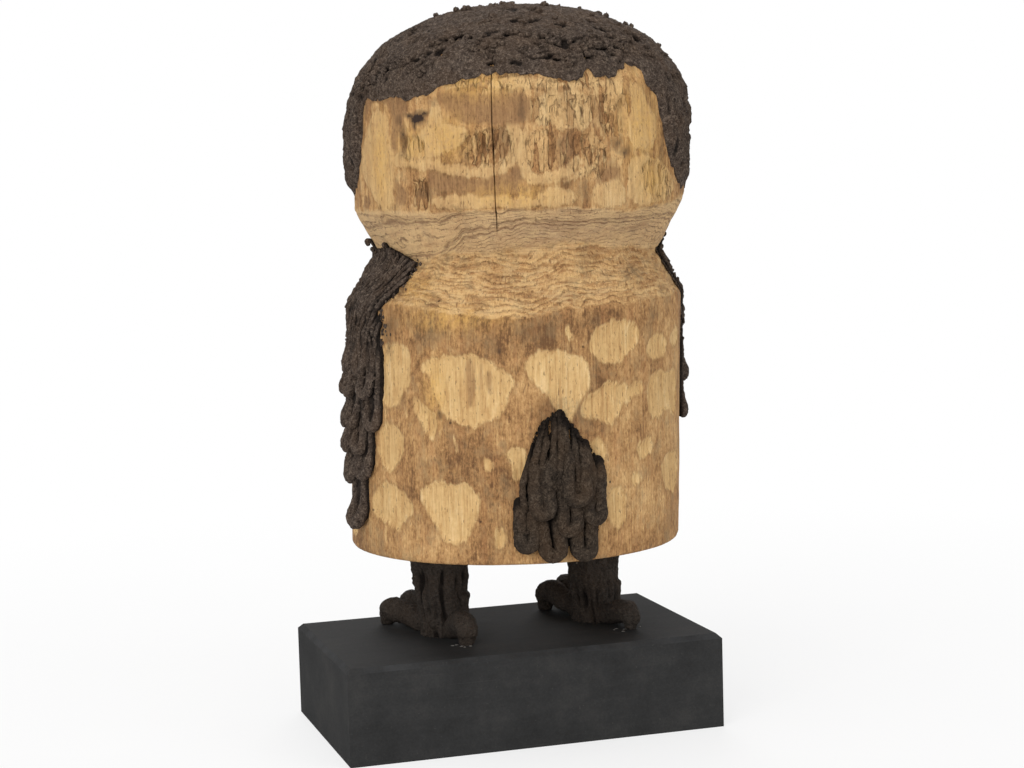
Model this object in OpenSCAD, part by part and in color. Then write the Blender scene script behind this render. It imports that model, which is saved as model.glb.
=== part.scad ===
// Carved owl figure: a round wooden log with modelled paste plumage, standing on a plinth.
// Millimetres. +Z is up, the face looks along -Y, the tail is on the +Y side.
// The origin is the centre of the plinth's underside.
// Angles round the log are measured from +X towards +Y, so the tail sits near 90 degrees.

/* [Plinth] */
// Length of the plinth, from side to side
plinth_l = 160; // [150:1:190]
// Depth of the plinth, from front to back
plinth_d = 97; // [92:1:120]
// Height of the plinth
plinth_h = 39.5; // [32:0.5:50]
// Width of the chamfer round the top edges
plinth_chamfer = 2; // [0.5:0.5:4]

/* [Carved log] */
// Radius of the trunk at its foot
trunk_r = 69; // [64:0.5:74]
// Height of the trunk, from its foot to the shoulder edge
trunk_h = 102; // [92:1:112]
// Radius at the bottom of the neck groove
neck_r = 57.5; // [53:0.5:61]
// Height of the neck groove, from shoulder edge to jaw edge
groove_h = 35.5; // [30:0.5:40]
// Radius of the head
head_r = 68.5; // [64:0.5:72]
// Height of the straight side of the head
head_h = 45.5; // [40:0.5:50]
// Height of the rounded crown above the head's side
crown_h = 36; // [30:0.5:40]
// Sideways drift of the axis from the foot of the log to the jaw
axis_drift = -6; // [-8:0.5:8]

/* [Legs and feet] */
// Distance between the two leg axes
leg_pitch = 68.5; // [64:0.5:74]
// Clear height of the legs between plinth and log
leg_h = 39.5; // [36:0.5:48]
// Radius of a leg where it meets the log
leg_top_r = 12.2; // [11:0.1:14]
// Radius of a leg at its thinnest, just above the foot
leg_ankle_r = 9.6; // [9:0.1:11]
// Radius of a toe
toe_r = 4; // [3.2:0.1:4.4]

/* [Plumage] */
// Thickness of the paste on the head
cap_t = 4; // [3:0.5:5]
// Thickness of the paste on the shoulders
mantle_t = 4.5; // [3:0.5:6]
// Thickness of the paste at the root of the tail
tail_root_t = 6.5; // [4:0.5:9]
// Radius of the rolled coils in the wings
wing_coil_r = 2.3; // [1.8:0.1:2.6]
// Radius of the rolled coils in the tail
tail_coil_r = 2.6; // [2:0.1:2.8]

/* [Hidden] */

$fn = 48;
wood_colour = [0.72, 0.53, 0.33];
paste_colour = [0.16, 0.13, 0.11];
plinth_colour = [0.10, 0.10, 0.10];
steel_colour = [0.62, 0.62, 0.64];
peg_colour = [0.80, 0.66, 0.46];

fit_gap = 0.1;     // glue line between a paste piece and what it sits on
overcut = 1;       // how far a cutting shape runs past the face it cuts

figure_x = -4.5;   // where the figure stands on the plinth
log_y = 5;
legs_x = -7.3;     // middle of the two legs
leg_y = -2;
log_z = plinth_h + leg_h;
neck_share = 0.58; // share of the groove's height that lies below its bottom
neck_z = log_z + trunk_h + groove_h * neck_share;
jaw_z = log_z + trunk_h + groove_h;
crown_z = jaw_z + head_h;
foot_round = 1.5;  // eased lower edge of the log

// ---------------------------------------------------------------- log surface
// A place on the log is an angle and a rise. A rise of 0 is where the crown starts.
// Below it the rise is millimetres, and above it degrees up the crown's quarter ellipse.

side_profile = [
    [log_z, trunk_r - foot_round],
    [log_z + foot_round, trunk_r],
    [log_z + trunk_h, trunk_r],
    [neck_z, neck_r],
    [jaw_z, head_r],
    [crown_z, head_r]
];

function lerp(a, b, t) = a + (b - a) * t;
function axis_x(z) =
    figure_x + axis_drift * lookup(z, [[log_z, 0], [log_z + trunk_h, 0.5], [jaw_z, 1]]);
function rise_z(rise, off) = crown_z + (rise <= 0 ? rise : (crown_h + off) * sin(rise));
function rise_r(rise, off) =
    off + (rise <= 0 ? lookup(crown_z + rise, side_profile) : (head_r + off) * cos(rise) - off);
function log_point(angle, rise, off = 0) =
    let (z = rise_z(rise, off), r = rise_r(rise, off))
    [axis_x(z) + r * cos(angle), log_y + r * sin(angle), z];

// Puts a shape drawn round the origin on the log: its +X points outwards, its +Z runs up the log.
module on_log(angle, z, off = 0) {
    drift = axis_x(z + 1) - axis_x(z);
    translate(log_point(angle, z - crown_z, off)) rotate([0, 0, angle])
        rotate([atan(drift * sin(angle)), atan(drift * cos(angle)), 0]) children();
}

// Closes a row of equal loops into a solid. Loops turn clockwise seen from the start, and each
// end is closed by strips from the loop's first half to its second.
module loft(loops) {
    n = len(loops[0]);
    last = (len(loops) - 1) * n;
    polyhedron(
        points = [for (loop = loops) each loop],
        faces = [
            for (j = [0:n / 2 - 2]) let (b = n - 1 - j) each [
                [j, j + 1, b - 1], [j, b - 1, b],
                [last + j, last + b - 1, last + j + 1], [last + j, last + b, last + b - 1]
            ],
            for (k = [0:len(loops) - 2], i = [0:n - 1]) let (a = k * n, j = (i + 1) % n)
                each [[a + i, a + n + i, a + n + j], [a + i, a + n + j, a + j]]
        ],
        convexity = 10);
}

// A patch of paste on the log. Each angle has a list of heights, and the lists are equally long.
module patch(angles, heights, thickness) {
    loft([for (k = [len(angles) - 1:-1:0]) let (zs = heights[k], n = len(zs) - 1) [
        for (j = [0:n]) log_point(angles[k], zs[j] - crown_z, thickness),
        for (j = [n:-1:0]) log_point(angles[k], zs[j] - crown_z, fit_gap)
    ]]);
}

// ---------------------------------------------------------------- plinth and fixings
rod_r = 3;
rod_bore_r = 3.2;
washer_r = 8;
washer_t = 1.6;
nut_across_flats = 10;
nut_h = 5;
recess_r = 9;
recess_h = 10;
rod_low_z = 2.5;
rod_bite = 34;     // how far the rod screws into the log
peg_r = 7;
peg_in_plinth = 10;
peg_in_log = 22;

module at_legs() {
    for (side = [-1, 1]) translate([legs_x + side * leg_pitch / 2, leg_y, 0]) children();
}

module at_leg(side) {
    translate([legs_x + side * leg_pitch / 2, leg_y, 0]) children();
}

// The waste taken off one top edge of the plinth, along X and centred on it.
module edge_waste(length, half_depth) {
    c = plinth_chamfer;
    translate([-length / 2 - overcut, half_depth, plinth_h]) rotate([90, 0, 90])
        linear_extrude(length + 2 * overcut)
            polygon([[-c, 0], [0, -c], [overcut, -c], [overcut, overcut], [-c, overcut]]);
}

module plinth() {
    color(plinth_colour) difference() {
        translate([-plinth_l / 2, -plinth_d / 2, 0]) cube([plinth_l, plinth_d, plinth_h]);
        for (turn = [0, 180]) rotate(turn) edge_waste(plinth_l, plinth_d / 2);
        for (turn = [90, 270]) rotate(turn) edge_waste(plinth_d, plinth_l / 2);
        at_legs() {
            translate([0, 0, -overcut]) cylinder(r = recess_r, h = recess_h + overcut);
            cylinder(r = rod_bore_r, h = plinth_h);
            translate([0, 0, plinth_h - peg_in_plinth])
                cylinder(r = peg_r + fit_gap, h = peg_in_plinth + overcut);
        }
    }
}

module mounting_rods() {
    color(steel_colour) at_legs()
        translate([0, 0, rod_low_z]) cylinder(r = rod_r, h = log_z + rod_bite - rod_low_z);
}

module rod_washers() {
    color(steel_colour) at_legs() translate([0, 0, recess_h - washer_t]) difference() {
        cylinder(r = washer_r, h = washer_t);
        translate([0, 0, -overcut]) cylinder(r = rod_bore_r, h = washer_t + 2 * overcut);
    }
}

module rod_nuts() {
    color(steel_colour) at_legs() translate([0, 0, recess_h - washer_t - nut_h]) difference() {
        cylinder(r = nut_across_flats / 2 / cos(30), h = nut_h, $fn = 6);
        translate([0, 0, -overcut]) cylinder(r = rod_r + 0.02, h = nut_h + 2 * overcut);
    }
}

// ---------------------------------------------------------------- legs
module leg_peg(side) {
    color(peg_colour) at_leg(side) translate([0, 0, plinth_h - peg_in_plinth]) difference() {
        cylinder(r = peg_r, h = peg_in_plinth + leg_h + peg_in_log);
        translate([0, 0, -overcut])
            cylinder(r = rod_bore_r, h = peg_in_plinth + leg_h + peg_in_log + 2 * overcut);
    }
}

// Paste sheath round a peg: flared under the log, waisted at the ankle, wide at the foot.
module leg(side) {
    ankle_h = 15;
    color(paste_colour) at_leg(side) translate([0, 0, plinth_h]) rotate_extrude()
        polygon([
            [peg_r + fit_gap, 0], [foot_r, 0], [foot_r, foot_h], [leg_ankle_r, ankle_h],
            [leg_top_r, leg_h], [peg_r + fit_gap, leg_h]
        ]);
}

// ---------------------------------------------------------------- toes
foot_r = 11;
foot_h = 5;
toe_spread = 21;       // angle between neighbouring front toes
toe_climb = 17;        // slope at which a toe leaves the foot, in degrees
toe_arch_low = 3.5;    // height of the arch's centre above the plinth
toe_tip_r = 2.4;
toe_reach = 29;        // from the leg's axis to the centre of a front toe's arch
hind_reach = 25;
low_arch = 5.5;
high_arch = 7.5;

// A toe lying along +X from the leg's axis: it climbs, arches over and comes down on its claw.
// Each section is a centre in x and z, the direction of its outer side, and its radius.
// Neighbouring toes press against each other, so none is wider than its sector.
module toe_shape(reach, arch, sector) {
    corners = 24;
    bend = 90 + toe_climb;
    root_x = foot_r + fit_gap;
    root_z = toe_arch_low + arch * cos(toe_climb)
        - (reach - arch * sin(toe_climb) - root_x) * tan(toe_climb);
    sections = [
        [root_x, root_z, 90, toe_r],
        for (a = [bend:-bend / 12:-0.1])
            [reach + arch * cos(a), toe_arch_low + arch * sin(a), a, toe_r],
        [reach + arch, fit_gap, 0, toe_tip_r]
    ];
    loft([for (s = sections) let (half = min(s[3], s[0] * tan(sector / 2) - fit_gap))
        [for (i = [0:corners - 1]) let (t = 360 * i / corners, up = s[3] * sin(t))
            [s[0] + up * cos(s[2]), half * cos(t), s[1] + up * sin(s[2])]]]);
}

module toe(side, direction, arch) {
    color(paste_colour) at_leg(side) translate([0, 0, plinth_h]) rotate(direction)
        toe_shape(toe_reach, arch, toe_spread);
}

module hind_toe(side, direction) {
    color(paste_colour) at_leg(side) translate([0, 0, plinth_h]) rotate(direction)
        toe_shape(hind_reach, low_arch, 90);
}

// ---------------------------------------------------------------- carved log
eye_spread = 21;       // angle of each eye from the middle of the face
eye_z = jaw_z + 25;
disc_r = 21;           // carved facial disc
disc_off = -5;         // depth of the disc's flat below the head's surface

module carved_log() {
    corners = 72;
    rises = [
        log_z - crown_z, log_z - crown_z + foot_round, log_z - crown_z + trunk_h,
        neck_z - crown_z, jaw_z - crown_z, for (a = [0:7.5:82.5]) a, 87
    ];
    color(wood_colour) difference() {
        loft([for (rise = rises)
            [for (i = [0:corners - 1]) log_point(360 * i / corners, rise)]]);
        for (a = [-90 - eye_spread, -90 + eye_spread]) on_log(a, eye_z, disc_off)
            rotate([0, 90, 0]) cylinder(r = disc_r, h = 30);
        at_legs() {
            translate([0, 0, log_z - overcut])
                cylinder(r = peg_r + fit_gap, h = peg_in_log + overcut);
            translate([0, 0, log_z]) cylinder(r = rod_r, h = rod_bite + overcut);
        }
    }
}

// ---------------------------------------------------------------- head cap
// Lower edge of the paste on the head: angle, then rise.
hairline = [
    [-180, -34], [-160, -35], [-143, -33], [-131, -17], [-122, 0], [-108, 8], [-90, -6],
    [-72, 8], [-58, 0], [-49, -17], [-37, -33], [-20, -35], [-8, -30], [4, -8], [14, 2],
    [33, 7], [46, 14], [64, 17], [85, 12], [100, 15], [114, 20], [122, 8], [130, -14],
    [142, -23], [154, -32], [180, -34]
];

module head_cap() {
    columns = 72;
    rows = 16;
    bed = 2 * fit_gap;
    function edge_point(i, j, off) =
        let (a = -180 + 360 * i / columns, low = lookup(a, hairline))
        log_point(a, lerp(low, 87, j / rows), off);
    function at(layer, i, j) = layer * columns * (rows + 1) + (i % columns) * (rows + 1) + j;
    outer_top = 2 * columns * (rows + 1);
    inner_top = outer_top + 1;
    color(paste_colour) polyhedron(
        points = [
            for (off = [cap_t, bed], i = [0:columns - 1], j = [0:rows]) edge_point(i, j, off),
            log_point(0, 90, cap_t),
            log_point(0, 90, bed)
        ],
        faces = [
            for (i = [0:columns - 1]) each [
                for (j = [0:rows - 1]) each [
                    [at(0, i, j), at(0, i, j + 1), at(0, i + 1, j + 1), at(0, i + 1, j)],
                    [at(1, i, j), at(1, i + 1, j), at(1, i + 1, j + 1), at(1, i, j + 1)]
                ],
                [at(0, i, 0), at(0, i + 1, 0), at(1, i + 1, 0), at(1, i, 0)],
                [at(0, i, rows), outer_top, at(0, i + 1, rows)],
                [at(1, i, rows), at(1, i + 1, rows), inner_top]
            ]
        ],
        convexity = 10);
}

// ---------------------------------------------------------------- loops of rolled coil
// One hanging loop on the log: a U of coil with its lowest point at tip_z.
module coil_loop(angle, tip_z, span, height, coil_r, lift = 0) {
    bend_r = span / 2 - coil_r;
    leg = height - span / 2;
    on_log(angle, tip_z, coil_r + fit_gap + lift) translate([0, 0, span / 2]) {
        for (side = [-1, 1]) translate([0, side * bend_r, 0]) cylinder(r = coil_r, h = leg);
        rotate([90, 180, 90]) rotate_extrude(angle = 180) translate([bend_r, 0])
            circle(r = coil_r);
    }
}

// ---------------------------------------------------------------- wings
// Angles are for the left wing and start ahead of the side. The right wing is its mirror image.
mantle_from = -30;
mantle_step = 5;
mantle_foot = 85;      // lower edge of the mantle, above the log's foot
mantle_top = [109, 115, 119, 122, 123, 124, 126, 127, 127, 125, 122, 119];
loop_span = 12.6;

// Tiers from the shoulder down: lowest point above the log's foot, height, then loop angles.
wing_tiers = [
    [72.5, 12.2, [-19, -5.5, 8]],
    [64, 8.2, [-26, -13, 0, 13]],
    [50, 13.7, [-23, -10, 3, 16]],
    [40.5, 9.2, [-17, -4, 9]],
    [30, 10.2, [-13, 0, 12.5]],
    [12, 17.7, [7]]
];

function wing_angle(side, a) = side > 0 ? a : 180 - a;

module wing_mantle(side) {
    last = len(mantle_top) - 1;
    order = side > 0 ? [0:last] : [last:-1:0];
    color(paste_colour) patch(
        [for (k = order) wing_angle(side, mantle_from + k * mantle_step)],
        [for (k = order) [
            for (z = [mantle_foot, trunk_h, mantle_top[k]]) log_z + z
        ]],
        mantle_t);
}

module wing_tier(side, tier) {
    color(paste_colour) for (a = tier[2])
        coil_loop(wing_angle(side, a), log_z + tier[0], loop_span, tier[1], wing_coil_r);
}

// ---------------------------------------------------------------- tail
tail_span = 11;

module tail_root() {
    from = 77.5;
    low = 33.5;
    high = [48, 57, 61, 55, 44];
    color(paste_colour) patch(
        [for (k = [0:4]) from + 5 * k],
        [for (top = high) [log_z + low, log_z + top]],
        tail_root_t);
}

module tail_tier(loops) {
    color(paste_colour) for (l = loops)
        coil_loop(l[0], log_z + l[1], tail_span, l[2], tail_coil_r);
}

// ---------------------------------------------------------------- face
ring_r = 15;
ring_coil_r = 3;
eye_ball_r = 10;
eye_sink = 3;

module eye_ring(side) {
    color(paste_colour) on_log(-90 + side * eye_spread, eye_z, disc_off + ring_coil_r + fit_gap)
        rotate([0, 90, 0]) rotate_extrude() translate([ring_r, 0]) circle(r = ring_coil_r);
}

module eye(side) {
    color(paste_colour) on_log(-90 + side * eye_spread, eye_z, disc_off + fit_gap) intersection() {
        translate([-eye_sink, 0, 0]) sphere(r = eye_ball_r);
        translate([0, -eye_ball_r, -eye_ball_r]) cube(2 * eye_ball_r);
    }
}

module beak() {
    root_h = 17;
    color(paste_colour) difference() {
        hull() {
            on_log(-90, eye_z, 0) sphere(r = 4.5, $fn = 32);
            on_log(-90, eye_z - 6, 5) sphere(r = 3.6, $fn = 32);
            on_log(-90, eye_z - root_h, 4) sphere(r = 1.6, $fn = 32);
        }
        translate([axis_x(eye_z), log_y, jaw_z]) cylinder(r = head_r + 2 * fit_gap, h = head_h, $fn = 72);
    }
}

// ---------------------------------------------------------------- assembly
plinth();
mounting_rods();
rod_washers();
rod_nuts();
leg_peg(1);  // leg_peg_left
leg_peg(-1);  // leg_peg_right
leg(1);  // leg_left
leg(-1);  // leg_right
toe(1, -57, low_arch);  // left_toe_outer
toe(1, -78, high_arch);  // left_toe_middle
toe(1, -99, low_arch);  // left_toe_inner
hind_toe(1, 97);  // left_toe_hind
toe(-1, -64, low_arch);  // right_toe_inner
toe(-1, -85, high_arch);  // right_toe_middle
toe(-1, -106, low_arch);  // right_toe_outer
hind_toe(-1, 106);  // right_toe_hind
carved_log();
head_cap();
wing_mantle(1);  // left_wing_mantle
wing_tier(1, wing_tiers[0]);  // left_wing_tier_1
wing_tier(1, wing_tiers[1]);  // left_wing_tier_2
wing_tier(1, wing_tiers[2]);  // left_wing_tier_3
wing_tier(1, wing_tiers[3]);  // left_wing_tier_4
wing_tier(1, wing_tiers[4]);  // left_wing_tier_5
wing_tier(1, wing_tiers[5]);  // left_wing_tier_6
wing_mantle(-1);  // right_wing_mantle
wing_tier(-1, wing_tiers[0]);  // right_wing_tier_1
wing_tier(-1, wing_tiers[1]);  // right_wing_tier_2
wing_tier(-1, wing_tiers[2]);  // right_wing_tier_3
wing_tier(-1, wing_tiers[3]);  // right_wing_tier_4
wing_tier(-1, wing_tiers[4]);  // right_wing_tier_5
wing_tier(-1, wing_tiers[5]);  // right_wing_tier_6
tail_root();
tail_tier([[81, 19, 14.2], [92, 23, 10.2]]);  // tail_tier_upper
tail_tier([[89.5, 11.5, 11.2], [99, 14.5, 8.2]]);  // tail_tier_middle
tail_tier([[75.5, 5.5, 13.2], [85, 1.5, 9.7], [95.5, 1, 10.2]]);  // tail_tier_lower
eye_ring(1);  // eye_ring_left
eye_ring(-1);  // eye_ring_right
eye(1);  // eye_left
eye(-1);  // eye_right
beak();
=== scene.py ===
import math

import bpy
import numpy as np
from mathutils import Matrix, Vector


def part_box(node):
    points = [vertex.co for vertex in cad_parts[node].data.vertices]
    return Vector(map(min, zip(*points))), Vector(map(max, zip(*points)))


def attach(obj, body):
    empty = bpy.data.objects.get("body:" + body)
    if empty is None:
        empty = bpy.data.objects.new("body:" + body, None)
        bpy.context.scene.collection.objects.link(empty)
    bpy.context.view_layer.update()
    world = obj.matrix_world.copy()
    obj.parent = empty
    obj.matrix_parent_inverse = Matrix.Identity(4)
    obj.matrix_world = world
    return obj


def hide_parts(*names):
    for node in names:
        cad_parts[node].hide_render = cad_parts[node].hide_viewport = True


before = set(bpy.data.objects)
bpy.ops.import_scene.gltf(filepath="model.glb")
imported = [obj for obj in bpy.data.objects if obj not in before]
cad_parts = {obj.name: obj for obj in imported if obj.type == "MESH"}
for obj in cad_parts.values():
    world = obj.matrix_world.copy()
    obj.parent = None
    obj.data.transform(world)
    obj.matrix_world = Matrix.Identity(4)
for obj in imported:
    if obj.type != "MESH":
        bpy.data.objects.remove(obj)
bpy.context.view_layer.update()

MM = 0.001


def node_box(name):
    low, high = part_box(name)
    return np.array(low) / MM, np.array(high) / MM


# ------------------------------------------------------------------ camera
IMAGE_W = 1024
SENSOR = 36.0
FOCAL_PX = 2091.2
CAMERA_AT = (254.4, 842.5, 230.5)
CAMERA_YAW, CAMERA_PITCH, CAMERA_ROLL = (math.radians(a) for a in (17.204, -5.594, -1.651))


def make_camera():
    cy, sy = math.cos(CAMERA_YAW), math.sin(CAMERA_YAW)
    cp, sp = math.cos(CAMERA_PITCH), math.sin(CAMERA_PITCH)
    forward = Vector((-sy * cp, -cy * cp, sp))
    right = Vector((-cy, sy, 0))
    up = right.cross(forward)
    cr, sr = math.cos(CAMERA_ROLL), math.sin(CAMERA_ROLL)
    right, up = right * cr + up * sr, up * cr - right * sr
    data = bpy.data.cameras.new("camera")
    data.sensor_width = SENSOR
    data.lens = FOCAL_PX / IMAGE_W * SENSOR
    data.clip_start = 0.01
    camera = bpy.data.objects.new("camera", data)
    turn = Matrix((right, up, -forward)).transposed().to_4x4()
    camera.matrix_world = Matrix.Translation(Vector(CAMERA_AT) * MM) @ turn
    bpy.context.collection.objects.link(camera)
    bpy.context.scene.camera = camera


make_camera()

# ------------------------------------------------------------------ shape of the log
LOG_LOW, LOG_HIGH = node_box("carved_log")
PLINTH_TOP = node_box("plinth")[1][2]
LOG_Z = LOG_LOW[2]
LOG_Y = (LOG_LOW[1] + LOG_HIGH[1]) / 2
CROWN_FOOT = 183.0     # where the crown starts, above the log's foot
CROWN_Z = LOG_Z + CROWN_FOOT
CROWN_H = LOG_HIGH[2] - CROWN_Z
TRUNK_R, NECK_R, HEAD_R = 69.0, 57.5, 68.5
FIGURE_X = -4.5
AXIS = ([0, 102, 137.5], [0, -3, -6])    # sideways drift of the axis with height above the foot
SURFACE_R = 70.0       # radius used to turn angles into distances along the surface
# The groove's three edges wander with the angle: heights above the log's foot.
SHOULDER_EDGE = [(-180, 103), (-100, 102), (-20, 102), (20, 103.5), (30, 104), (43, 102), (58, 98.5),
                 (67, 97), (77, 98), (87, 100), (101, 101.5), (118, 102.5), (140, 103.5), (180, 103)]
NECK_EDGE = [(-180, 121), (-90, 122), (0, 122), (30, 120), (44, 124), (61, 122), (78, 124), (95, 125.5),
             (116, 124), (157, 121), (180, 121)]
JAW_EDGE = [(-180, 140), (-120, 138), (-60, 138), (5, 140), (30, 140), (63, 139), (91, 139), (111, 138),
            (130, 140), (158, 143), (180, 140)]


def xyz(x, y, z):
    """Points from their coordinates, each an array or one number."""
    return np.stack(np.broadcast_arrays(x, y, z), -1).astype(float)


def outward(angle):
    """Unit vectors that point straight out of the log."""
    a = np.radians(angle)
    return xyz(np.cos(a), np.sin(a), 0)


def axis_x(z):
    return FIGURE_X + np.interp(z - LOG_Z, *AXIS)


def around_axis(angle, r, z):
    """Points at an angle, a distance from the log's axis and a height."""
    a = np.radians(angle)
    return xyz(axis_x(z) + r * np.cos(a), LOG_Y + r * np.sin(a), z)


def along(angle, table):
    """Height of an edge at an angle."""
    return np.interp((angle + 180) % 360 - 180, [x for x, _ in table], [y for _, y in table])


def log_r(angle, h, ease=1.0):
    """Radius of the log's side at an angle and a height above its foot, with eased edges."""
    low, mid, high = (along(angle, t) for t in (SHOULDER_EDGE, NECK_EDGE, JAW_EDGE))
    total = 0
    for shift in (-1.6, -0.8, 0, 0.8, 1.6):
        x = h + shift * ease
        down = np.clip((x - low) / (mid - low), 0, 1)
        up = np.clip((x - mid) / (high - mid), 0, 1)
        total = total + TRUNK_R + (NECK_R - TRUNK_R) * down + (HEAD_R - NECK_R) * up
    return total / 5


def surface(angle, z, off):
    """Points at an angle (degrees) and a height on the log's side, off millimetres outside it."""
    return around_axis(angle, log_r(angle, z - LOG_Z) + off, z)


def crown(angle, rise, off):
    """Points on the crown. A rise in degrees, and below 0 in millimetres down the side."""
    e = np.radians(np.maximum(rise, 0))
    z = CROWN_Z + np.where(rise > 0, (CROWN_H + off) * np.sin(e), rise)
    r = np.where(rise > 0, (HEAD_R + off) * np.cos(e), log_r(angle, np.minimum(z, CROWN_Z) - LOG_Z) + off)
    return around_axis(angle, r, z)


# ------------------------------------------------------------------ noise and small maths
def smooth(x, low, high):
    """0 at low and 1 at high, with a soft start and end. High may be the smaller one."""
    t = np.clip((x - low) / (high - low), 0, 1)
    return t * t * (3 - 2 * t)


def lattice(i, j, k, seed):
    """A fixed number from -1 to 1 for each point of a grid."""
    h = (i * 374761393 + j * 668265263 + k * 1440662683 + seed * 362437) & 0xFFFFFFFF
    h = ((h ^ (h >> 13)) * 1274126177) & 0xFFFFFFFF
    return ((h ^ (h >> 16)) & 0xFFFF) / 32767.5 - 1


def noise(points, size, seed=0):
    """Smooth noise from -1 to 1. Size is the cell in millimetres, one number or one per axis."""
    q = np.asarray(points, float) / size
    base = np.floor(q).astype(np.int64)
    f = q - base
    f = f * f * (3 - 2 * f)
    total = 0
    for dx in (0, 1):
        for dy in (0, 1):
            for dz in (0, 1):
                w = (f[..., 0] if dx else 1 - f[..., 0]) * (f[..., 1] if dy else 1 - f[..., 1])
                w = w * (f[..., 2] if dz else 1 - f[..., 2])
                total = total + w * lattice(base[..., 0] + dx, base[..., 1] + dy, base[..., 2] + dz, seed)
    return total


def layered(points, size, seed):
    """Three layers of noise, each half the size and half the weight of the one before."""
    total = sum(0.5 ** n * noise(points, size * 0.5 ** n, seed + 17 * n) for n in range(3))
    return total / 1.75


def ridge(points, size, seed):
    """Noise with sharp crests."""
    return 1 - 2 * np.abs(noise(points, size, seed))


def rounded(outline):
    """Cuts an outline's corners, as a soft hand tool would."""
    following = np.roll(outline, -1, 0)
    pairs = [0.75 * outline + 0.25 * following, 0.25 * outline + 0.75 * following]
    return np.stack(pairs, 1).reshape(-1, 2)


def off_segment(u, v, start, end):
    """Distance to a straight line between two points."""
    (x0, y0), (x1, y1) = start, end
    ex, ey = x1 - x0, y1 - y0
    t = np.clip(((u - x0) * ex + (v - y0) * ey) / (ex * ex + ey * ey), 0, 1)
    return np.hypot(u - x0 - t * ex, v - y0 - t * ey)


def inside(u, v, outline):
    """Distance to an outline in the plane, positive inside."""
    best = np.full(u.shape, 1e9)
    within = np.zeros(u.shape, bool)
    for (x0, y0), (x1, y1) in zip(outline, np.roll(outline, -1, 0)):
        best = np.minimum(best, off_segment(u, v, (x0, y0), (x1, y1)))
        if y0 != y1:
            within ^= ((y0 > v) != (y1 > v)) & (u < (x1 - x0) * (v - y0) / (y1 - y0) + x0)
    return np.where(within, best, -best)


def beside(u, v, line, half_width):
    """Distance to the rim of a band drawn along a line, positive inside it."""
    best = np.full(u.shape, 1e9)
    for start, end in zip(line[:-1], line[1:]):
        best = np.minimum(best, off_segment(u, v, start, end))
    return half_width - best


# ------------------------------------------------------------------ pieces
def grid_faces(rows, cols, wrap=True):
    """Quads of a grid of rows by cols points, in row order."""
    i = np.arange(rows - 1)[:, None] * cols
    j = np.arange(cols if wrap else cols - 1)[None, :]
    k = (j + 1) % cols
    return np.stack([i + j, i + k, i + cols + k, i + cols + j], -1).reshape(-1, 4)


def end_face(rows, cols):
    """One face over the last row of a grid."""
    return [(rows - 1) * cols + i for i in range(cols)]


def closed_faces(rows, cols):
    """Faces of a grid that is wrapped round and closed over both ends."""
    return grid_faces(rows, cols).tolist() + [end_face(1, cols)[::-1], end_face(rows, cols)]


class Build:
    """Collects points, faces and per-point values for one piece."""

    def __init__(self):
        self.points, self.faces, self.values, self.count = [], [], {}, 0

    def add(self, points, faces, **values):
        points = np.asarray(points, float).reshape(-1, 3)
        for key in {**self.values, **values}:
            column = self.values.setdefault(key, [np.zeros(self.count)])
            column.append(np.broadcast_to(np.ravel(values.get(key, 0.0)), (len(points),)).astype(float))
        self.points.append(points)
        self.faces += [[int(v) + self.count for v in f] for f in faces]
        self.count += len(points)

    def paint_crevice_shade(self, full=3.2):
        """Gives every point its value of painted shade in crevices: 1 on the log, falling to 0 at full
        millimetres off it.
        """
        p = np.concatenate(self.points)
        x, y = p[:, 0] - axis_x(p[:, 2]), p[:, 1] - LOG_Y
        off = np.hypot(x, y) - log_r(np.degrees(np.arctan2(y, x)), p[:, 2] - LOG_Z)
        self.values["gap"] = [1 - np.clip(off / full, 0, 1)]

    def piece(self, name, material, slot, *nodes):
        mesh = bpy.data.meshes.new(name)
        mesh.from_pydata((np.concatenate(self.points) * MM).tolist(), [], self.faces)
        mesh.validate()
        mesh.polygons.foreach_set("use_smooth", np.ones(len(mesh.polygons), bool))
        for key, parts in self.values.items():
            layer = mesh.attributes.new(key, "FLOAT", "POINT")
            layer.data.foreach_set("value", np.concatenate(parts).astype(np.float32))
        mesh.materials.append(material)
        mesh.update()
        obj = bpy.data.objects.new(name, mesh)
        bpy.context.collection.objects.link(obj)
        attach(obj, "root")
        if nodes:
            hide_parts(*nodes)
        return obj


def tube(build, path, radius, sides, grit, lump, seed, out):
    """A rolled coil of gritty paste along a path, closed with domed ends. Out points off the surface."""
    radius = np.broadcast_to(np.asarray(radius, float), (len(path),))
    along = np.gradient(path, axis=0)
    along /= np.linalg.norm(along, axis=1)[:, None]
    turn = np.linspace(0, math.pi / 2, 5)[1:, None]
    narrow = np.maximum(np.cos(turn), 0.02)
    dome = np.sin(turn)
    centre = np.concatenate([path[:1] - along[:1] * radius[0] * dome[::-1], path,
                             path[-1:] + along[-1:] * radius[-1] * dome])
    reach = np.concatenate([radius[0] * narrow[::-1, 0], radius, radius[-1] * narrow[:, 0]])
    caps = len(turn)
    along, out = (np.concatenate([np.repeat(v[:1], caps, 0), v, np.repeat(v[-1:], caps, 0)])
                  for v in (along, out))
    side = np.cross(along, out)
    side /= np.maximum(np.linalg.norm(side, axis=1), 1e-6)[:, None]
    up = np.cross(side, along)
    t = np.linspace(0, 2 * math.pi, sides, endpoint=False)
    ring = side[:, None] * np.cos(t)[None, :, None] + up[:, None] * np.sin(t)[None, :, None]
    points = centre[:, None] + ring * reach[:, None, None]
    swell = grit * noise(points, 1.1, seed) + 0.6 * grit * noise(points, 0.6, seed + 5)
    swell = swell + lump * noise(points, 4.0, seed + 9)
    points = points + ring * (swell * np.minimum(reach, 1.0)[:, None])[..., None]
    build.add(points, closed_faces(len(centre), sides))


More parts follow.
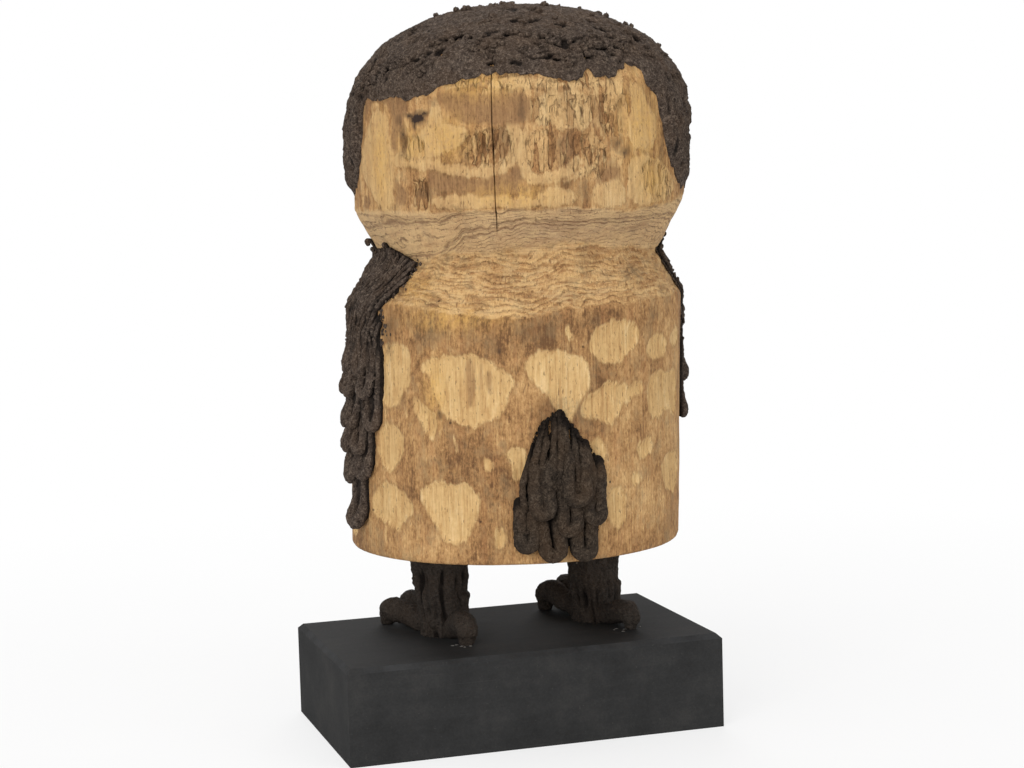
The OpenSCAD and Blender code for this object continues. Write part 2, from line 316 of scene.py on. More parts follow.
# ------------------------------------------------------------------ materials
def srgb(*rgb):
    return tuple((c / 255 / 12.92) if c <= 10 else ((c / 255 + 0.055) / 1.055) ** 2.4 for c in rgb) + (1.0,)


class Field:
    """A value in a material's node tree. It is added, subtracted and multiplied like a number."""

    def __init__(self, nodes, socket):
        self.nodes, self.socket = nodes, socket

    def __add__(self, other):
        return self.nodes.math("ADD", self, other)

    def __sub__(self, other):
        return self.nodes.math("SUBTRACT", self, other)

    def __rsub__(self, other):
        return self.nodes.math("SUBTRACT", other, self)

    def __mul__(self, other):
        return self.nodes.math("MULTIPLY", self, other)

    def swing(self, amount):
        """A value from 0 to 1 turned into a swing round zero."""
        return (self - 0.5) * amount

    def span(self, low, high, to_low=0.0, to_high=1.0):
        """Maps low to to_low and high to to_high, and holds it there beyond them."""
        node = self.nodes.new("MapRange", Value=self)
        for key, number in (("From Min", low), ("From Max", high), ("To Min", to_low), ("To Max", to_high)):
            node.inputs[key].default_value = number
        return Field(self.nodes, node.outputs["Result"])


class Nodes:
    """Short calls for building one material."""

    def __init__(self, name, roughness, specular=0.3):
        self.material = bpy.data.materials.new(name)
        self.material.use_nodes = True
        self.tree = self.material.node_tree
        self.shader = self.tree.nodes["Principled BSDF"]
        self.shader.inputs["Roughness"].default_value = roughness
        self.shader.inputs["Specular IOR Level"].default_value = specular
        self.place = self.tree.nodes.new("ShaderNodeTexCoord").outputs["Object"]

    def put(self, socket, value):
        """Links a value to a socket, or sets a constant there."""
        value = value.socket if isinstance(value, Field) else value
        if isinstance(value, bpy.types.NodeSocket):
            self.tree.links.new(value, socket)
        else:
            socket.default_value = value

    def new(self, kind, **inputs):
        node = self.tree.nodes.new("ShaderNode" + kind)
        for key, value in inputs.items():
            self.put(node.inputs[key], value)
        return node

    def attribute(self, name):
        node = self.tree.nodes.new("ShaderNodeAttribute")
        node.attribute_name = name
        return Field(self, node.outputs["Fac"])

    def vector_math(self, operation, vector, output):
        node = self.new("VectorMath", Vector=vector)
        node.operation = operation
        return node.outputs[output]

    def scaled(self, place, *scale):
        return self.new("Mapping", Vector=place, Scale=scale).outputs["Vector"]

    def noise_per_metre(self, x, y, z, detail, rough=0.5, warp=0.0):
        """Noise with so many features to the metre along each axis."""
        node = self.new("TexNoise", Vector=self.scaled(self.place, x, y, z), Scale=1.0, Detail=detail,
                        Roughness=rough, Distortion=warp)
        return Field(self, node.outputs["Fac"])

    def noise(self, size, detail=3.0, rough=0.5, stretch=1.0):
        """Noise whose features are size millimetres across, and stretch times longer upwards."""
        s = 1000.0 / size
        return self.noise_per_metre(s, s, s / stretch, detail, rough)

    def cells(self, size):
        """Distance to the middle of the nearest of many cells, size millimetres across."""
        s = 1000.0 / size
        node = self.new("TexVoronoi", Vector=self.scaled(self.place, s, s, s), Scale=1.0)
        return Field(self, node.outputs["Distance"])

    def splinters(self, width, height):
        """Upright cells like torn fibres: each cell's own random value, and the distance to its rim."""
        drift = self.new("TexNoise", Vector=self.place, Scale=260.0, Detail=2.0).outputs["Color"]
        moved = self.new("VectorMath")
        moved.operation = "MULTIPLY_ADD"
        for socket, value in zip(moved.inputs, (drift, (0.0012, 0.0012, 0.003), self.place)):
            self.put(socket, value)
        place = self.scaled(moved.outputs["Vector"], 1000 / width, 1000 / width, 1000 / height)
        value = self.new("TexVoronoi", Vector=place, Scale=1.0)
        rim = self.new("TexVoronoi", Vector=place, Scale=1.0)
        rim.feature = "DISTANCE_TO_EDGE"
        random = self.new("SeparateColor", Color=value.outputs["Color"])
        return Field(self, random.outputs["Red"]), Field(self, rim.outputs["Distance"])

    def math(self, operation, a, b=0.0):
        node = self.tree.nodes.new("ShaderNodeMath")
        node.operation = operation
        self.put(node.inputs[0], a)
        self.put(node.inputs[1], b)
        return Field(self, node.outputs[0])

    def mix(self, factor, a, b):
        node = self.tree.nodes.new("ShaderNodeMix")
        node.data_type = "RGBA"
        for key, value in (("Factor_Float", factor), ("A_Color", a), ("B_Color", b)):
            self.put(next(s for s in node.inputs if s.identifier == key), value)
        return Field(self, next(s for s in node.outputs if s.identifier == "Result_Color"))

    def ramp(self, value, *stops):
        node = self.new("ValToRGB", Fac=value)
        ramp = node.color_ramp
        while len(ramp.elements) < len(stops):
            ramp.elements.new(0.5)
        for element, (at, colour) in zip(ramp.elements, stops):
            element.position = at
            element.color = colour
        return Field(self, node.outputs["Color"])

    def bump(self, height, distance_mm, strength, before=None):
        node = self.new("Bump", Height=height, Distance=distance_mm * MM, Strength=strength)
        if before is not None:
            self.put(node.inputs["Normal"], before)
        return Field(self, node.outputs["Normal"])

    def finish(self, colour, normal=None, roughness=None):
        for key, value in (("Base Color", colour), ("Normal", normal), ("Roughness", roughness)):
            if value is not None:
                self.put(self.shader.inputs[key], value)
        return self.material


def paste_material(name, dark, mid, light, warm, flecks=0.35):
    """Dry granular paste. Its crevices get painted shade from a value given each point, and the glue value
    is pale glue.
    """
    n = Nodes(name, roughness=0.95, specular=0.12)
    grain = n.noise(0.6, detail=2.0, rough=0.6)
    clump = n.noise(1.3, detail=2.0, rough=0.6)
    tone = grain * 0.40 + n.noise(2.0) * 0.25 + clump * 0.35
    colour = n.ramp(tone, (0.34, dark), (0.50, mid), (0.64, light))
    colour = n.mix(n.noise(12.0).span(0.4, 0.68, 0.0, warm), colour, srgb(92, 68, 46))
    fleck = n.noise(0.9, detail=1.0).span(0.70, 0.76)
    colour = n.mix(fleck * flecks, colour, srgb(140, 118, 92))
    # painted shade: darker where the paste lies close to the log, in crevices and between coils
    colour = n.mix(n.attribute("gap").span(0.12, 0.60, 0.0, 0.88), colour, srgb(18, 14, 12))
    colour = n.mix(n.attribute("glue"), colour, srgb(178, 174, 168))
    normal = n.bump(n.cells(1.3).span(0.0, 0.35), 0.5, 0.7)
    normal = n.bump(clump, 1.2, 0.9, normal)
    normal = n.bump(grain, 0.7, 0.9, normal)
    return n.finish(colour, normal)


def wood_material():
    """Weathered wood. The values that carved_log gives each point say what the tools left there."""
    n = Nodes("weathered_wood", roughness=0.78, specular=0.18)
    tone, fresh, dark, torn, ring, step, head, upper, lower, mauve, stain, slit, yellow = (
        n.attribute(k) for k in ("tone", "fresh", "dark", "torn", "ring", "step", "head", "upper", "lower",
                                 "mauve", "stain", "slit", "yellow"))
    fibre = n.noise(0.8, rough=0.65, stretch=18.0)
    cell, rim_of_cell = n.splinters(2.6, 13.0)
    line = n.noise(1.1, rough=0.6, stretch=14.0)
    streak = n.noise(3.4, rough=0.55, stretch=14.0)
    cloud = n.noise(15.0, detail=5.0, rough=0.6, stretch=1.5)
    mottle = n.noise(1.5, detail=4.0, rough=0.7, stretch=1.5)
    grain = n.noise(0.6, detail=2.0, rough=0.6, stretch=2.5)
    blotch = n.noise(4.5, detail=6.0, rough=0.72, stretch=1.3)
    # weathered skin
    level = (tone + cloud.swing(0.85) + streak.swing(0.40) + blotch.swing(1.2) + mottle.swing(1.0)
             + fibre.swing(0.80) + grain.swing(0.7) + cell.swing(0.40) * head)
    skin = n.ramp(level, (0.0, srgb(112, 80, 52)), (0.22, srgb(150, 111, 71)), (0.42, srgb(176, 134, 87)),
                  (0.65, srgb(198, 157, 106)), (1.0, srgb(222, 184, 130)))
    red = (n.noise(4.0, detail=4.0, stretch=7.0) + blotch.swing(0.5)).span(0.50, 0.68, 0.0, 0.30)
    skin = n.mix(red * (1.0 - upper), skin, srgb(168, 116, 74))
    olive = n.noise(8.0, detail=5.0, rough=0.65, stretch=1.6) + blotch.swing(0.6)
    skin = n.mix(olive.span(0.50, 0.70, 0.0, 0.62), skin, srgb(138, 114, 82))
    # the groove is drier and greyer above
    skin = n.mix(upper * 0.50, skin, srgb(192, 160, 122))
    skin = n.mix(mauve * 0.45, skin, srgb(158, 132, 108))
    # fresh cuts have a soft top edge and fibres torn out along the grain
    rim = (fresh + line.swing(2.6) + mottle.swing(1.4) + grain.swing(0.8)
           + (cell.swing(1.3) + blotch.swing(1.2)) * head)
    light = (fibre.swing(0.9) + line.swing(0.6) + cloud.swing(0.7) + mottle.swing(0.5) + streak.swing(0.7)
             + blotch.swing(0.5) + 0.54)
    pale = n.ramp(light, (0.1, srgb(170, 128, 82)), (0.4, srgb(202, 162, 108)), (0.62, srgb(217, 180, 124)),
                  (0.9, srgb(232, 200, 148)))
    vein = n.noise(1.5, detail=2.0, stretch=26.0).span(0.56, 0.66) * blotch.span(0.40, 0.60, 0.3, 1.0)
    pale = n.mix(vein * 0.36, pale, srgb(168, 120, 70))
    pale = n.mix(head * 0.35, pale, srgb(192, 158, 115))
    colour = n.mix(rim.span(-0.45, 0.55) * (head * -0.14 + 0.93), skin, pale)
    shade = rim.span(-1.4, -0.2) * rim.span(0.9, 0.1)
    colour = n.mix(shade * 0.22, colour, srgb(128, 92, 58))
    # brown weathered bands on the head
    band = (dark + line.swing(2.6) + mottle.swing(2.0) + blotch.swing(2.0)).span(-0.6, 0.9, 0.0, 0.92)
    brown = n.ramp(mottle.swing(0.9) + fibre.swing(0.8) + 0.5, (0.2, srgb(118, 86, 58)),
                   (0.5, srgb(148, 112, 76)), (0.85, srgb(172, 132, 90)))
    colour = n.mix(band * (head * 0.4 + 0.6), colour, brown)
    # torn fibres: painted shade in short slots and in the splits round torn cells, with light splinters
    # between them
    ragged = torn.span(-1.0, 0.8)
    loose = head * (ragged * 0.92 + 0.08)
    split = rim_of_cell.span(0.075, 0.015) * n.noise(3.2).span(0.42, 0.56)
    colour = n.mix(split * (loose * 0.5), colour, srgb(96, 66, 42))
    fringe = cell + fibre.swing(0.5)
    colour = n.mix(fringe.span(0.66, 0.80) * loose * 0.26, colour, srgb(222, 186, 130))
    colour = n.mix(fringe.span(0.30, 0.12) * loose * 0.45, colour, srgb(140, 100, 62))
    slots = line.span(0.56, 0.66) * n.noise(3.0, detail=2.0, stretch=2.0).span(0.40, 0.60)
    colour = n.mix(slots * (ragged * 0.80 + 0.10), colour, srgb(92, 62, 38))
    colour = n.mix(line.span(0.40, 0.33) * ragged * 0.32, colour, srgb(224, 192, 140))
    warm = (mottle + streak.swing(0.6)).span(0.35, 0.6, 0.1, 0.55)
    colour = n.mix(yellow * warm, colour, srgb(216, 170, 92))

    def lines(field, sharp):
        """Thin lines where a field passes each whole number."""
        return n.math("ABSOLUTE", n.math("FRACT", field) - 0.5).span(sharp, sharp * 0.35)

    # growth rings where the groove cuts across them, and chisel steps
    broken = n.noise(4.5, detail=5.0, rough=0.65).span(0.40, 0.58)
    growth = lines(ring + mottle.swing(0.3) + blotch.swing(0.4), 0.10) * broken * upper
    waver = ring + mottle.swing(0.5)
    for count in STRONG_RINGS:
        away = n.math("ABSOLUTE", waver - count)
        strong = away.span(0.34, 0.08) * blotch.span(0.30, 0.50, 0.45, 1.0)
        growth = n.math("MAXIMUM", growth, strong * upper)
    colour = n.mix(growth * 0.66, colour, srgb(112, 82, 62))
    jagged = step + blotch.swing(1.3) + mottle.swing(0.8)
    chisel = lines(jagged, 0.11) * broken * lower
    colour = n.mix(chisel * 0.22, colour, srgb(112, 80, 54))
    flat_cut = (n.math("FRACT", jagged) + line.swing(0.5)).span(0.62, 0.90)
    colour = n.mix(flat_cut * lower * 0.45, colour, srgb(220, 182, 124))
    groove = upper + lower
    sweep = n.noise_per_metre(60.0, 60.0, 620.0, detail=4.0, rough=0.65, warp=0.5)
    colour = n.mix(sweep.span(0.53, 0.64) * (groove * 0.40), colour, srgb(142, 106, 74))
    blocks = n.noise_per_metre(110.0, 110.0, 420.0, detail=5.0, rough=0.7)
    colour = n.mix(blocks.span(0.50, 0.40) * (groove * 0.45), colour, srgb(218, 184, 134))
    colour = n.mix(blocks.span(0.56, 0.64) * (lower * 0.55), colour, srgb(146, 108, 70))
    notch = line.span(0.58, 0.64) * n.noise(9.0, detail=2.0).span(0.55, 0.62)
    colour = n.mix(notch * (lower * 0.5), colour, srgb(120, 84, 54))
    # pores, worm holes, dirt, knots, and painted shade inside the crack
    pore = n.noise(0.8, detail=1.0, stretch=3.0).span(0.66, 0.71) * 0.5
    colour = n.mix(pore, colour, srgb(92, 64, 42))
    colour = n.mix(n.cells(17.0).span(0.040, 0.028) * 0.8, colour, srgb(66, 46, 32))
    dirt = (stain + mottle.swing(1.1) + blotch.swing(0.8) + grain.swing(0.3)).span(0.25, 0.90)
    colour = n.mix(dirt * stain.span(0.05, 0.30, 0.0, 0.9), colour, srgb(78, 58, 43))
    knot = (stain + blotch.swing(1.1) + mottle.swing(0.5)).span(0.80, 0.98)
    colour = n.mix(knot, colour, srgb(54, 41, 34))
    # painted shade inside the drying crack
    colour = n.mix(slit, colour, srgb(24, 16, 11))
    height = (fibre.swing(0.9) + line.swing(1.0) + mottle.swing(0.5) - slots * ragged
              - (growth + chisel) * 0.6 + (cell.swing(0.8) - split) * loose)
    normal = n.bump(height, 0.8, 0.9)
    normal = n.bump(sweep.swing(2.0), 0.4, 0.5, normal)
    return n.finish(colour, normal)


def paint_material():
    """Black paint with dust specks and faint scratches. Its edges are lighter, partly wear of the paint and
    partly a painted highlight, and its top faces are darker as painted shade.
    """
    n = Nodes("black_paint", roughness=0.88, specular=0.04)
    brush = n.noise_per_metre(30.0, 220.0, 320.0, detail=5.0, rough=0.65)
    cloud = n.noise(24.0, detail=6.0, rough=0.62)
    fine = n.noise(0.8, detail=2.0)
    level = brush * 0.15 + cloud * 0.65 + fine * 0.2
    colour = n.ramp(level, (0.32, srgb(42, 42, 42)), (0.5, srgb(52, 52, 52)), (0.68, srgb(63, 62, 61)))
    facing = n.vector_math("ABSOLUTE", n.new("NewGeometry").outputs["Normal"], "Vector")
    x, y, z = (Field(n, part) for part in n.new("SeparateXYZ", Vector=facing).outputs)
    square = n.math("MAXIMUM", n.math("MAXIMUM", x, y), z)
    # lighter edges: partly wear of the paint, partly a painted highlight along the rounded edges
    wear_and_highlight = square.span(0.995, 0.90) * n.noise(9.0, detail=5.0).span(0.36, 0.66)
    # painted shade: the top faces are darker
    colour = n.mix(z.span(0.6, 1.0, 0.0, 0.18), colour, srgb(27, 22, 20))
    colour = n.mix(wear_and_highlight * 0.32, colour, srgb(71, 72, 74))
    speck = n.noise(1.0, detail=1.0).span(0.74, 0.77)
    colour = n.mix(speck * 0.15, colour, srgb(100, 97, 92))
    scratch = n.noise_per_metre(40.0, 60.0, 1500.0, detail=2.0, warp=0.8)
    colour = n.mix(scratch.span(0.70, 0.74, 0.0, 0.10), colour, srgb(92, 90, 88))
    normal = n.bump(brush, 0.08, 0.4)
    normal = n.bump(fine, 0.10, 0.5, normal)
    return n.finish(colour, normal, cloud.span(0.3, 0.7, 0.82, 0.92))


def steel_material():
    n = Nodes("zinc_plate", roughness=0.38, specular=0.5)
    n.shader.inputs["Metallic"].default_value = 1.0
    fine = n.noise(1.2)
    colour = n.ramp(fine, (0.3, srgb(165, 165, 168)), (0.7, srgb(200, 200, 202)))
    return n.finish(colour, n.bump(fine, 0.03, 0.4))


def peg_material():
    n = Nodes("turned_peg", roughness=0.7)
    fibre = n.noise(0.8, stretch=15.0)
    colour = n.ramp(fibre, (0.3, srgb(176, 138, 92)), (0.7, srgb(208, 172, 122)))
    return n.finish(colour, n.bump(fibre, 0.2, 0.5))


# Counts of the growth rings that are darker than the others.
STRONG_RINGS = (0.0, 4.0, 5.4)
PASTE = paste_material("plumage_paste", srgb(39, 32, 28), srgb(77, 66, 58), srgb(124, 109, 96), warm=0.2)
PASTE_TAIL = paste_material("tail_paste", srgb(30, 25, 21), srgb(58, 49, 41), srgb(90, 78, 66), warm=0.25,
                            flecks=0.15)
# The legs' paste is the plumage paste made darker: painted shade, as the legs stand under the log.
SHADED_LEG_PASTE = paste_material("shaded_leg_paste", srgb(44, 39, 35), srgb(61, 55, 50), srgb(77, 70, 64), warm=0.10,
                           flecks=0.08)
PASTE_EYE = paste_material("eye_paste", srgb(30, 26, 24), srgb(44, 38, 34), srgb(62, 54, 48), warm=0.1)
WOOD = wood_material()
PAINT = paint_material()
STEEL = steel_material()
PEG = peg_material()


# ------------------------------------------------------------------ carved log
# Marks on the wood: angle in degrees and height above the log's foot.
TRUNK_CHIPS = [
    [(22, 88), (31, 89), (35, 86), (36, 82), (35, 77), (36, 73), (32, 68), (30, 63), (22, 62), (18, 74)],
    [(40, 79), (43, 83), (49, 84), (61, 84), (66, 81), (69, 78), (72, 74), (72, 70), (70, 66), (69, 61),
     (66, 58), (61, 57), (59, 54), (56, 56), (52, 57), (49, 60), (47, 65), (44, 70), (43, 76), (40, 77)],
    [(36, 67), (39, 66), (45, 61), (46, 55), (46, 50), (42, 53), (40, 57), (37, 62)],
    [(19, 52), (24, 56), (29, 56), (33, 52), (33, 47), (31, 41), (27, 36), (23, 36), (19, 44)],
    [(16, 26), (21, 32), (28, 32), (34, 28), (37, 22), (34, 17), (31, 16), (30, 12), (26, 14), (19, 17),
     (15, 20)],
    [(38, 28), (43, 33), (46, 35), (50, 32), (53, 34), (58, 33), (61, 28), (60, 20), (57, 12), (53, 9),
     (48, 10), (46, 16), (42, 22)],
    [(69, 45), (72, 48), (76, 47), (77, 41), (75, 34), (72, 34), (71, 41)],
    [(62, 44), (65, 43), (65, 38), (62, 38)],
    [(75, 80), (79, 85), (85, 85), (93, 83), (98, 78), (98, 70), (93, 60), (90, 56), (86, 62), (81, 70),
     (77, 73)],
    [(96, 85), (99, 92), (104, 95), (114, 95), (118, 92), (118, 86), (113, 81), (107, 77), (102, 79)],
    [(121, 83), (125, 88), (132, 88), (136, 84), (133, 78), (125, 77)],
    [(137, 82), (140, 88), (148, 90), (148, 82)],
    [(94, 62), (100, 69), (105, 72), (112, 69), (120, 71), (121, 65), (112, 63), (109, 58), (106, 52),
     (102, 56), (95, 57)],
    [(123, 70), (128, 74), (136, 72), (144, 73), (148, 62), (146, 53), (136, 56), (126, 53), (122, 60)],
    [(96, 50), (104, 49), (104, 39), (99, 40)],
    [(116, 44), (124, 48), (127, 42), (120, 37)],
    [(131, 38), (148, 40), (150, 26), (140, 20), (133, 26)],
    [(105, 29), (111, 29), (113, 17), (108, 11), (104, 18)],
    [(-52, 72), (-44, 78), (-36, 72), (-38, 56), (-47, 52)],
    [(-78, 64), (-66, 70), (-56, 62), (-60, 46), (-66, 43), (-74, 46)],
    [(-100, 76), (-88, 82), (-80, 74), (-84, 60), (-90, 56), (-97, 61)],
    [(-122, 68), (-110, 74), (-103, 64), (-108, 50), (-114, 48), (-120, 54)],
    [(-143, 74), (-132, 78), (-126, 68), (-131, 54), (-141, 56)],
    [(-64, 34), (-50, 38), (-44, 28), (-50, 14), (-55, 11), (-61, 16)],
    [(-92, 36), (-80, 42), (-72, 32), (-78, 16), (-84, 13), (-89, 18)],
    [(-117, 38), (-105, 42), (-98, 30), (-104, 16), (-110, 14), (-115, 22)],
    [(-142, 38), (-130, 44), (-124, 32), (-129, 18), (-139, 20)],
    [(-45, 44), (-34, 46), (-30, 36), (-36, 30), (-43, 34)],
    [(158, 32), (170, 36), (176, 26), (168, 14), (160, 16)],
    [(-12, 12), (-2, 15), (4, 9), (-4, 4)],
]
FAINT_CHIPS = [
    [(52, 54), (54, 52), (54, 45), (52, 43), (51, 47)], [(60, 52), (62, 51), (62, 46), (60, 46)],
    [(76, 34), (80, 30), (79, 20), (76, 18)], [(88, 94), (92, 96), (93, 88), (89, 86)],
    [(112, 33), (118, 36), (121, 30), (115, 26)], [(64, 16), (70, 18), (71, 8), (65, 6)],
]
HEAD_LIGHT = [
    [(13, 178), (19, 181), (23, 178), (25, 173), (25, 166), (27, 158), (27, 149), (24, 143), (21, 139),
     (16, 143), (12, 148), (4, 155), (3, 163), (9, 170)],
    [(44, 184), (42, 178), (40, 171), (29, 163), (32, 156), (41, 159), (50, 163), (56, 167), (56, 173),
     (48, 173), (47, 180)],
    [(42, 145), (57, 147), (69, 145), (77, 144), (84, 147), (84, 142), (69, 140), (52, 139), (43, 142)],
    [(72, 142), (78, 146), (87, 149), (92, 145), (91, 141), (76, 140)],
    [(97, 149), (110, 150), (110, 139), (97, 140)],
    [(77, 184), (97, 186), (98, 170), (86, 169), (84, 172), (77, 172)],
    [(112, 190), (119, 186), (125, 176), (126, 164), (119, 161), (112, 164), (113, 176)],
    [(110, 159), (123, 160), (138, 152), (138, 144), (125, 140), (111, 139)],
    [(46, 187), (58, 190), (75, 191), (88, 188), (106, 189), (104, 186), (76, 186), (58, 187)],
    [(150, 150), (166, 149), (172, 140), (152, 138)], [(-30, 148), (-10, 146), (-8, 140), (-30, 139)],
    [(-150, 152), (-136, 156), (-132, 142), (-148, 140)],
]
HEAD_BANDS = [
    (2.5, [(28, 160), (38, 159), (47, 157), (55, 154.5), (62, 154), (67, 156), (71, 160), (72, 168),
           (70, 173)]),
    (2.2, [(73, 168), (73, 158), (75, 153), (79, 151), (84, 152), (89, 154), (92, 158)]),
    (1.6, [(98, 188), (99, 176), (101, 168)]), (1.3, [(87, 150), (94, 154), (102, 158)]),
]
WOOD_DARK = [
    [(9, 187), (24, 187), (34, 185), (34, 177), (28, 176), (25, 181), (19, 184), (13, 182), (9, 174)],
    [(56, 82), (59, 82), (59.5, 72), (58.5, 65), (56.5, 64), (56, 72)],
    [(63, 77), (65.5, 77), (65, 68), (63, 68)],
    [(61, 80), (62, 80), (61.8, 70), (61, 70)],
    [(45, 186), (56, 185), (66, 184.5), (77, 185), (77, 176), (73, 171), (66, 173), (58, 173.5), (51, 176),
     (48, 179)],
    [(41, 155), (43, 157), (49, 154), (58, 151.5), (65, 152), (70, 155), (73, 156), (73, 150), (70, 146),
     (65, 144.5), (57, 146), (46, 147), (42, 150)],
    [(25, 182), (31, 183), (33, 178), (30, 172), (28, 164), (26, 163), (26, 171)],
    [(86, 169), (91, 169), (91, 160), (86, 159)], [(26, 152), (32, 150), (33, 144), (27, 142)],
    [(5, 147), (11, 146), (12, 141), (5, 141)], [(120, 185), (126, 182), (127, 176), (122, 178)],
    [(141, 156), (160, 155), (160, 141), (143, 145)], [(98, 153), (108, 156), (108, 150), (99, 149)],
]
TRUNK_TORN = [[(55.5, 82), (60, 82), (60, 65), (56, 64)], [(62, 79), (66, 78), (65.5, 68), (62.5, 68)]]
HEAD_TORN = [
    [(53, 170), (71, 172), (71, 158), (66, 156), (57, 156), (54, 162)],
    [(75, 168), (84, 170), (85, 159), (82, 154), (75, 155)],
    [(77, 184), (99, 185), (99, 172), (86, 170), (77, 173)], [(100, 186), (112, 187), (113, 168),
     (101, 168)],
    [(30, 170), (40, 168), (40, 160), (31, 160)], [(33, 152), (42, 153), (42, 141), (34, 141)],
    [(85, 168), (103, 168), (104, 150), (88, 152)], [(118, 160), (136, 152), (136, 142), (118, 142)],
    [(48, 191), (64, 194), (90, 192), (108, 190), (108, 185), (48, 185)],
]
YELLOW = [(118, 172, 9, 16), (124, 150, 9, 8), (48, 168, 9, 8), (60, 188, 12, 5), (45, 70, 4, 9),
          (36, 166, 7, 6), (20, 160, 6, 14), (52, 98, 16, 4), (70, 145, 14, 4), (34, 110, 9, 5)]
# Dirt and knots: angle, height, radius along, radius up, strength.
DIRT = [
    (37.6, 176.4, 3.6, 2.3, 1.15), (40.2, 178.0, 2.6, 1.1, 1.0), (34.6, 177.8, 2.6, 1.0, 1.0),
    (36.4, 173.6, 1.1, 2.6, 0.95), (31, 168, 2.4, 8.0, 0.82), (30, 176, 3.0, 2.4, 0.6),
    (44, 182, 3.4, 2.0, 0.5), (38, 148, 3.5, 4.5, 0.5), (74, 178, 1.8, 7.0, 0.6),
    (107, 164.6, 4.0, 2.8, 0.84), (110, 161, 3.0, 3.0, 0.74), (88, 149, 3.2, 2.6, 0.7),
    (94, 147, 2.4, 5.0, 0.6), (119, 113, 9.0, 3.6, 0.6), (107, 112, 5.0, 3.0, 0.4), (85, 63, 7.0, 7.0, 0.5),
    (78, 92, 5.0, 4.0, 0.35), (66, 94, 3.0, 2.5, 0.30), (59, 73, 1.6, 8.0, 0.30), (64, 72, 1.0, 6.0, 0.20),
    (83, 90, 4.0, 7.0, 0.40), (27, 96, 4.0, 6.0, 0.62), (25, 87, 3.0, 6.0, 0.60), (28, 110, 3.6, 5.0, 0.75),
    (33, 118, 3.0, 3.0, 0.4), (104, 74, 8.0, 3.6, 0.30), (93, 60, 6.0, 7.0, 0.42), (99, 56, 5.0, 4.0, 0.4),
    (47, 60, 1.4, 1.8, 0.8), (67, 85, 1.3, 1.3, 1.0), (120, 186, 4.0, 4.0, 0.45), (81, 60, 3.0, 8.0, 0.4),
    (100, 44, 3.0, 9.0, 0.35), (38, 134, 2.0, 2.0, 0.4), (91, 50, 4.0, 5.0, 0.45), (43, 107, 1.5, 1.2, 0.7),
    (52, 141, 6.0, 1.2, 0.45),
]
# Large patches of the trunk and head that are lighter or darker: as for the dirt.
LIGHTER = [(42, 43, 7, 12, 0.26), (26, 45, 12, 30, 0.16), (45, 10, 34, 8, 0.14), (110, 20, 30, 14, 0.16),
           (140, 60, 20, 40, 0.12), (64, 60, 8, 14, 0.08), (95, 130, 40, 6, 0.10)]
DARKER = [(92, 95, 24, 4, 0.26), (42, 93, 14, 6, 0.18), (56, 42, 16, 9, 0.26), (76, 90, 16, 8, 0.18),
          (88, 60, 10, 8, 0.20), (66, 36, 8, 12, 0.14), (100, 74, 12, 6, 0.18), (112, 46, 10, 8, 0.16),
          (88, 160, 16, 10, 0.16), (80, 146, 44, 6, 0.12), (62, 168, 10, 8, 0.16), (100, 176, 8, 10, 0.12)]
# Two growth rings that cross the upper side of the groove; the others run between and below them.
UPPER_RING = [(-180, 137), (8, 134), (20, 136), (34, 138), (43, 136.5), (58, 139), (76, 140), (96, 138),
              (112, 139), (140, 141), (180, 137)]
LOWER_RING = [(-180, 128), (0, 122), (34, 121), (40, 123), (46, 127), (52, 131.5), (64, 133.5), (76, 136),
              (92, 134), (110, 135), (128, 136), (150, 134), (180, 128)]
# Mauve tinge on the groove's upper side: as for the dirt.
MAUVE = [(86, 132, 26, 5, 1.0), (112, 132, 20, 5, 0.7), (20, 134, 16, 3, 0.4)]
COLUMN_STEP = 0.56     # degrees between the log's columns on the back and the sides
FRONT_STEP = 2.0       # the same on the front, from 168 to 336 degrees
ROW_STEP = 0.96        # millimetres between its rows
CRACK_ANGLE = 64.5
CRACK_FOOT = 130.0     # height at which the crack fades out
CRACK_DEPTH = 6.0
CRACK_HALF = 0.17
FOOT_EASE = 1.6
FOOT_LIFT = 0.9
SOCKET_ANGLES, SOCKET_H, SOCKET_R, SOCKET_DEPTH = (-111, -69), 162.5, 21.0, 4.6
TURN = 2 * math.pi * SURFACE_R


def crack_wander(h):
    p = xyz(0, 0, h)
    return 0.30 * noise(p, 17.0, 3) + 0.10 * noise(p, 5.0, 4)


def log_angles():
    """Angles of the columns, close round the crack and closer on the back than on the front."""
    gaps = np.array([0.0, 0.10, 0.20, 0.32, 0.50, 0.80])
    near = np.concatenate([-gaps[:0:-1], gaps]) + CRACK_ANGLE
    return np.concatenate([near, np.arange(near[-1] + COLUMN_STEP, 168, COLUMN_STEP),
                           np.arange(168, 336, FRONT_STEP),
                           np.arange(336, near[0] + 360 - 0.3, COLUMN_STEP)])


def drawn_to_crack(a, wander):
    """Moves the columns near the crack sideways so that they follow it."""
    return a + np.exp(-((a - CRACK_ANGLE) / 5.0) ** 2) * wander


def marks(u, h, warp_u, warp_h, outlines, bands=()):
    """Distance to the nearest of some outlines and bands on the side, positive inside."""
    best = np.full(u.shape, -8.0)
    for shape, half in [(o, None) for o in outlines] + [(line, half) for half, line in bands]:
        shape = np.array([(SURFACE_R * math.radians(x), y) for x, y in shape])
        centre = shape[:, 0].mean()
        reach = np.ptp(shape[:, 0]) / 2 + 12
        shift = (u - centre + TURN / 2) % TURN - TURN / 2
        near = (np.abs(shift) < reach) & (h > shape[:, 1].min() - 12) & (h < shape[:, 1].max() + 12)
        x, y = (shift + warp_u)[near], (h + warp_h)[near]
        if half is None:
            value = inside(x, y, rounded(shape - [centre, 0]))
        else:
            value = beside(x, y, shape - [centre, 0], half)
        best[near] = np.maximum(best[near], value)
    return np.clip(best, -8, 8)


